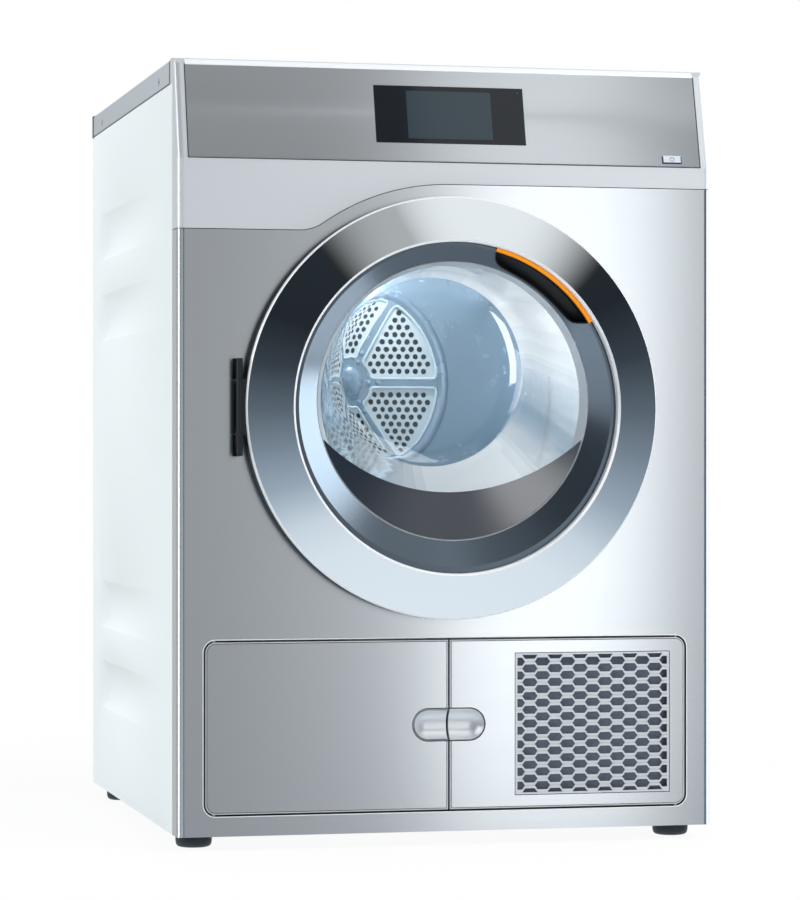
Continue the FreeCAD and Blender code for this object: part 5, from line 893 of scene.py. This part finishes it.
# Rear fittings: hexagon cable gland, barbed drain spigot and pressed louvre hoods over the vents
rearFittings = {
    "gland": (0.230, 0.770), "spigot": (-0.230, 0.770),
    "nut": [(0.0045, 0.339), (0.0045, 0.3437), (0.0096, 0.3437), (0.011, 0.3428), (0.011, 0.3398), (0.0104, 0.339)],
    "dome": [(0.0045, 0.3433), (0.0045, 0.349), (0.006, 0.349), (0.0076, 0.3478), (0.0084, 0.3458), (0.0084, 0.3433)],
    "barbs": [(0.0065, 0.339), (0.0065, 0.352), (0.0074, 0.352), (0.0089, 0.3495), (0.0077, 0.3492), (0.0089, 0.3465),
              (0.0077, 0.3462), (0.0077, 0.3428), (0.009, 0.3422), (0.009, 0.339)],  # radius and depth
    "vents": (0.0705, 0.2395), "lowest": 0.070, "pitch": 0.020, "count": 6, "cheek": 0.0006,
    "hood": [(0.3392, 0.0096), (0.3412, 0.0091), (0.3430, 0.0077), (0.3442, 0.0056), (0.3446, 0.0034),
             (0.3440, 0.0034), (0.3436, 0.0054), (0.3425, 0.0072), (0.3409, 0.0085), (0.3392, 0.0090)],  # depth, height
    "cheekFoot": (0.3392, 0.0034),
}
fittings = ([], [])
for spot, profile, steps in (("gland", "nut", 6), ("gland", "dome", 48), ("spigot", "barbs", 48)):
    x, z = rearFittings[spot]
    joinMesh(fittings, latheMesh([(r, y, z) for r, y in rearFittings[profile]], steps, x))
addPiece("rearFittings", *fittings, greyNylon, "casing", "dark_plastic", ["rear_connections"], sharp=25)
hoods, hood, cheek = ([], []), rearFittings["hood"], rearFittings["cheek"]
start, end = rearFittings["vents"]
closing = hood[:len(hood) // 2] + [rearFittings["cheekFoot"]]
for row in range(rearFittings["count"]):
    base = rearFittings["lowest"] + row * rearFittings["pitch"]
    for outline, ends in ((hood, (start, end)), (closing, (start, start + cheek)), (closing, (end - cheek, end))):
        joinMesh(hoods, loftMesh([[(x, y, base + z) for y, z in outline] for x in ends]))
addPiece("rearLouvres", *hoods, galvanised, "casing", "galvanised")
print("rear fittings done")


# Casing screws: domed heads, with a black disc in each round socket as painted shade
screws = {
    "radius": 0.0044, "crown": 0.003168, "socket": 0.0021,  # radii
    "under": -0.001, "edge": 0.0002, "top": 0.00095, "floor": -0.0004, "dark": (-0.0002, -0.0005),
    "lid": (0.297, 0.834, (-0.184, 0.263)),  # half width, height and depths
    "rear": (0.340, (-0.29, 0.29), (0.066, 0.515, 0.807)),  # depth, places across and heights
    "cover": (0.3412, ((-0.159, 0.515), (0.159, 0.515), (0.0, 0.356), (0.0, 0.674))),
}
half, height, depths = screws["lid"]
heads = [((side * half, y, height), (side, 0)) for side in (-1, 1) for y in depths]
depth, places, heights = screws["rear"]
heads += [((x, depth, z), (0, 1)) for x in places for z in heights]
depth, places = screws["cover"]
heads += [((x, depth, z), (0, 1)) for x, z in places]
outer, crown, socket = (circleLoop((0, 0), screws[name]) for name in ("radius", "crown", "socket"))


def onHead(head, ring, lift):
    spot, (outX, outY) = head
    return [Vector(spot) + Vector((-outY, outX, 0)) * a + Vector((0, 0, b)) + Vector((outX, outY, 0)) * lift
            for a, b in ring]


bright, dark = ([], []), ([], [])
for head in heads:
    rings = [onHead(head, ring, screws[lift]) for ring, lift in
             ((outer, "under"), (outer, "edge"), (crown, "top"), (socket, "top"), (socket, "floor"))]
    joinMesh(bright, loftMesh(rings, lastEnd=False))
    joinMesh(dark, loftMesh([onHead(head, socket, lift) for lift in screws["dark"]]))
addPiece("screwHeads", *bright, zincSteel, "casing", "screw_steel", ["casing_screws"])
addPiece("screwSocketShade", *dark, blackMoulding, "casing", "black_plastic")
print("screws done:", len(heads))


# Studio: pale floor, white surround for the camera, soft boxes and soft glows for the metal
spared, steelFront = ("glassBowl", "door_chin", "rightSidePanel"), ("front_panel", "control_fascia")
studio = {
    "floorRadius": 3.4, "floorSides": 96, "floorColour": "#f2f3f4", "floorRough": 0.9,
    "melt": (0.5, 1.4), "white": (0.93, 1.0),  # distances, and the floor's own white for the camera there
    "target": (0, 0, 0.45),
    "watts": 4,  # for one square metre and one unit of radiance
    "boxes": [  # bearing and height in degrees, distance, width, height, radiance, seen by metal, only for, not for
        ("keyStrip", 16.4, 0.7, 3.2, 0.42, 1.7, 1.26, True, (), spared),
        ("keySkirt", 9.9, 0.7, 3.2, 0.4, 1.7, 0.1, True, (), spared),
        ("fasciaStrip", 18.5, 33, 3.2, 0.42, 0.9, 0.72, True, (), spared),
        ("leftBox", -75, 30, 2.4, 2.4, 2.2, 1.4, True, (), steelFront + ("leftSidePanel",)),
        ("leftSideBox", -159, 24, 6.0, 1.7, 2.8, 35.0, False, ("leftSidePanel",), ()),
        ("rightSideBox", 159, 24, 6.0, 1.7, 2.8, 20.0, False, ("rightSidePanel",), ()),
        ("edgeStrip", -77, 4, 2.4, 0.6, 2.4, 4.0, True, steelFront, ()),
        ("leftCornerCard", -36, 0, 2.6, 2.0, 2.4, 0.3, True, steelFront, ()),
        ("rightCornerCard", 88, 4, 2.6, 2.8, 2.4, 1.2, True, steelFront, ()),
        ("rightBox", 80, 30, 2.4, 2.4, 2.2, 1.2, False, (), ("rightSidePanel",)),
        ("frontLift", 38, 35, 3.0, 2.0, 1.5, 4.0, False, (), ("rightSidePanel",)),
        ("ringCard", 63.4, 13.2, 2.41, 1.1, 1.7, 8.5, True, ("innerRing",), ()),
        ("ringLowCard", 66, -24, 2.4, 1.3, 1.2, 3.0, True, ("innerRing",), ()),
        ("ringCounterCard", -49, -12, 2.5, 1.6, 1.6, 1.6, True, ("innerRing",), ()),
        ("bowlCard", -50, 8, 2.5, 1.6, 1.6, 4.3, False, ("glassBowl",), ()),
        ("bowlGlint", -25, -9, 2.5, 0.75, 1.5, 7.0, True, ("glassBowl",), ()),
        ("accentCard", -12, 18, 2.4, 1.0, 1.0, 3.0, False, ("handleStrip",), ()),
        ("chinCard", -20, 32, 2.5, 1.3, 1.0, 4.0, True, ("door_chin",), ()),
    ],
    "rolls": {"keyStrip": -1.9},  # degrees about the line of sight
    "glints": ("bowlGlint",),  # shine only, no shading
    "glows": [  # bearing and height in degrees, full to here, gone from here, strength
        (38, 55, 8, 31, 1.0),
        (6, 47, 3, 24, 0.5),
        (15.5, 3, 3, 26, 0.5),
    ],
    "elevation": [(0.0, 1.0), (0.14, 0.95), (0.19, 0.92), (0.25, 0.8), (0.29, 0.62), (0.33, 0.46), (0.395, 0.33),
                  (0.42, 0.28), (0.5, 0.16), (0.6, 0.06), (0.7, 0.025), (0.85, 0.03), (0.93, 0.3),
                  (1.0, 0.7)],  # straight down to straight up
    "behind": 0.6, "behindBy": 0.3,  # glow of the rear half, full from here on
    "red": (0.78, 0.18), "blue": (1.25, -0.21),  # tint at black and its change up to white
}


def bearingVector(bearing, height):
    b, h = math.radians(bearing), math.radians(height)
    return Vector((math.sin(b) * math.cos(h), -math.cos(b) * math.cos(h), math.sin(h)))


sides = studio["floorSides"]
mesh = bpy.data.meshes.new("studioFloor")
mesh.from_pydata([(x, y, 0.0) for x, y in circleLoop((0, 0), studio["floorRadius"], sides)], [], [range(sides)])
floor = addObject("studioFloor", mesh)
floor.visible_shadow = False  # the strips go on below the floor for the metal, as their reflection in it would
# Pale paper floor: white for the camera further out, with a contact shadow close to the casing
paper = newFinish("paleFloorPaper", studio["floorColour"], studio["floorRough"])
tree = paper.node_tree
rays = addNode(tree, "LightPath")
mirrored = addNode(tree, "Math", {0: rays.outputs["Is Glossy Ray"], 1: rays.outputs["Is Transmission Ray"]},
                   operation="MAXIMUM")
clear = addNode(tree, "BsdfTransparent")  # metal and glass see the surround's own pale ground
glowCamera = addNode(tree, "Emission", {"Color": (1, 1, 1, 1)})
coords = addNode(tree, "TexCoord")
away = addNode(tree, "VectorMath", {0: coords.outputs["Object"]}, operation="LENGTH")
pale = remap(tree, away.outputs["Value"], studio["melt"], studio["white"])
share = addNode(tree, "Math", {0: rays.outputs["Is Camera Ray"], 1: pale}, operation="MULTIPLY")
mixed = addNode(tree, "MixShader", {0: share.outputs[0], 1: tree.nodes["Principled BSDF"].outputs["BSDF"],
                                    2: glowCamera.outputs[0]})
mixed = addNode(tree, "MixShader", {0: mirrored.outputs[0], 1: mixed.outputs["Shader"], 2: clear.outputs[0]})
tree.links.new(mixed.outputs["Shader"], tree.nodes["Material Output"].inputs["Surface"])
mesh.materials.append(paper)

for name, bearing, height, distance, width, tall, radiance, mirrored, only, barred in studio["boxes"]:
    lamp = bpy.data.lights.new(name, "AREA")
    lamp.shape = "RECTANGLE"
    lamp.size, lamp.size_y = width, tall
    lamp.energy = radiance * width * tall * studio["watts"]
    box = addObject(name, lamp)
    aim = bearingVector(bearing, height)
    box.location = Vector(studio["target"]) + aim * distance
    roll = Quaternion((0, 0, 1), math.radians(studio["rolls"].get(name, 0)))
    box.rotation_euler = (aim.to_track_quat("Z", "Y") @ roll).to_euler()
    box.visible_camera = False
    box.visible_glossy = mirrored
    if name in studio["glints"]:
        lamp.diffuse_factor = 0
    if only or barred:  # a card set for a few pieces, or kept off them
        group = bpy.data.collections.new(name + "Targets")
        for piece in only + barred:
            group.objects.link(bpy.data.objects[cad[piece].name if piece in cad else piece])
        for entry in group.collection_objects:
            entry.light_linking.link_state = "INCLUDE" if only else "EXCLUDE"
        box.light_linking.receiver_collection = group

world = bpy.data.worlds.new("studioSurround")
bpy.context.scene.world = world
world.use_nodes = True
tree = world.node_tree
coords = addNode(tree, "TexCoord")
axes = addNode(tree, "SeparateXYZ", {"Vector": coords.outputs["Generated"]})
ramp = addNode(tree, "ValToRGB", {"Fac": remap(tree, axes.outputs["Z"], (-1, 1), (0, 1))})
stops = ramp.color_ramp.elements
(red, redRise), (blue, blueRise) = studio["red"], studio["blue"]
for position, value in studio["elevation"]:
    stop = stops[0] if position == 0 else stops[-1] if position == 1 else stops.new(position)
    stop.color = (value * (red + redRise * value), value, value * (blue + blueRise * value), 1)  # dim parts are cooler
patches = []
for bearing, height, full, gone, strength in studio["glows"]:
    near = addNode(tree, "VectorMath", {0: coords.outputs["Generated"], 1: bearingVector(bearing, height)},
                   operation="DOT_PRODUCT")
    reach = [math.cos(math.radians(angle)) for angle in (gone, full)]
    patches.append(remap(tree, near.outputs["Value"], reach, (0, strength), interpolation_type="SMOOTHSTEP"))
patches.append(remap(tree, axes.outputs["Y"], (0, studio["behindBy"]), (0, studio["behind"])))
tone = ramp.outputs["Color"]
for patch in patches:
    tone = addNode(tree, "MixRGB", {"Fac": 1.0, "Color1": tone, "Color2": patch}, blend_type="LIGHTEN").outputs["Color"]
rays = addNode(tree, "LightPath")
seen = addNode(tree, "MixRGB", {"Fac": rays.outputs["Is Camera Ray"], "Color1": tone, "Color2": (1, 1, 1, 1)})
tree.links.new(seen.outputs["Color"], tree.nodes["Background"].inputs["Color"])

# Light in the drum: one by the lamp, small ones round the glass, none seen through it and most not by metal
drumLights = {
    "spots": [((0.02, 0.13, 0.69), 1.2, True), ((0.0, -0.19, 0.6), 0.07, False), ((0.225, 0.08, 0.56), 0.06, False),
              ((0.165, -0.25, 0.53), 0.05, False), ((0.135, -0.25, 0.63), 0.07, False),
              ((0.13, -0.25, 0.42), 0.12, False), ((0.05, -0.25, 0.365), 0.1, False),
              ((0.05, -0.25, 0.665), 0.07, False), ((-0.2, 0.05, 0.6), 0.12, True)],  # place, power, glints
    "radius": 0.012, "colour": "#fbfdff",
}
for number, (spot, power, glints) in enumerate(drumLights["spots"]):
    lamp = bpy.data.lights.new(f"drumLight{number}", "POINT")
    lamp.energy, lamp.shadow_soft_size = power, drumLights["radius"]
    lamp.color = toLinear(drumLights["colour"])[:3]
    light = addObject(lamp.name, lamp)
    light.location = spot
    light.visible_camera = light.visible_transmission = False
    light.visible_glossy = glints
print("studio done")


# Camera at the photograph's place
view = {"place": (-0.8705, -3.8083, 0.4122), "turn": -13.12, "lens": 133.107, "sensor": 36, "rise": 0.01734}
lens = bpy.data.cameras.new("productCamera")
lens.lens, lens.sensor_width, lens.shift_y = view["lens"], view["sensor"], view["rise"]
camera = addObject("productCamera", lens)
camera.location = view["place"]
camera.rotation_euler = (math.radians(90), 0, math.radians(view["turn"]))
bpy.context.scene.camera = camera

bpy.context.scene.view_settings.view_transform = "Standard"
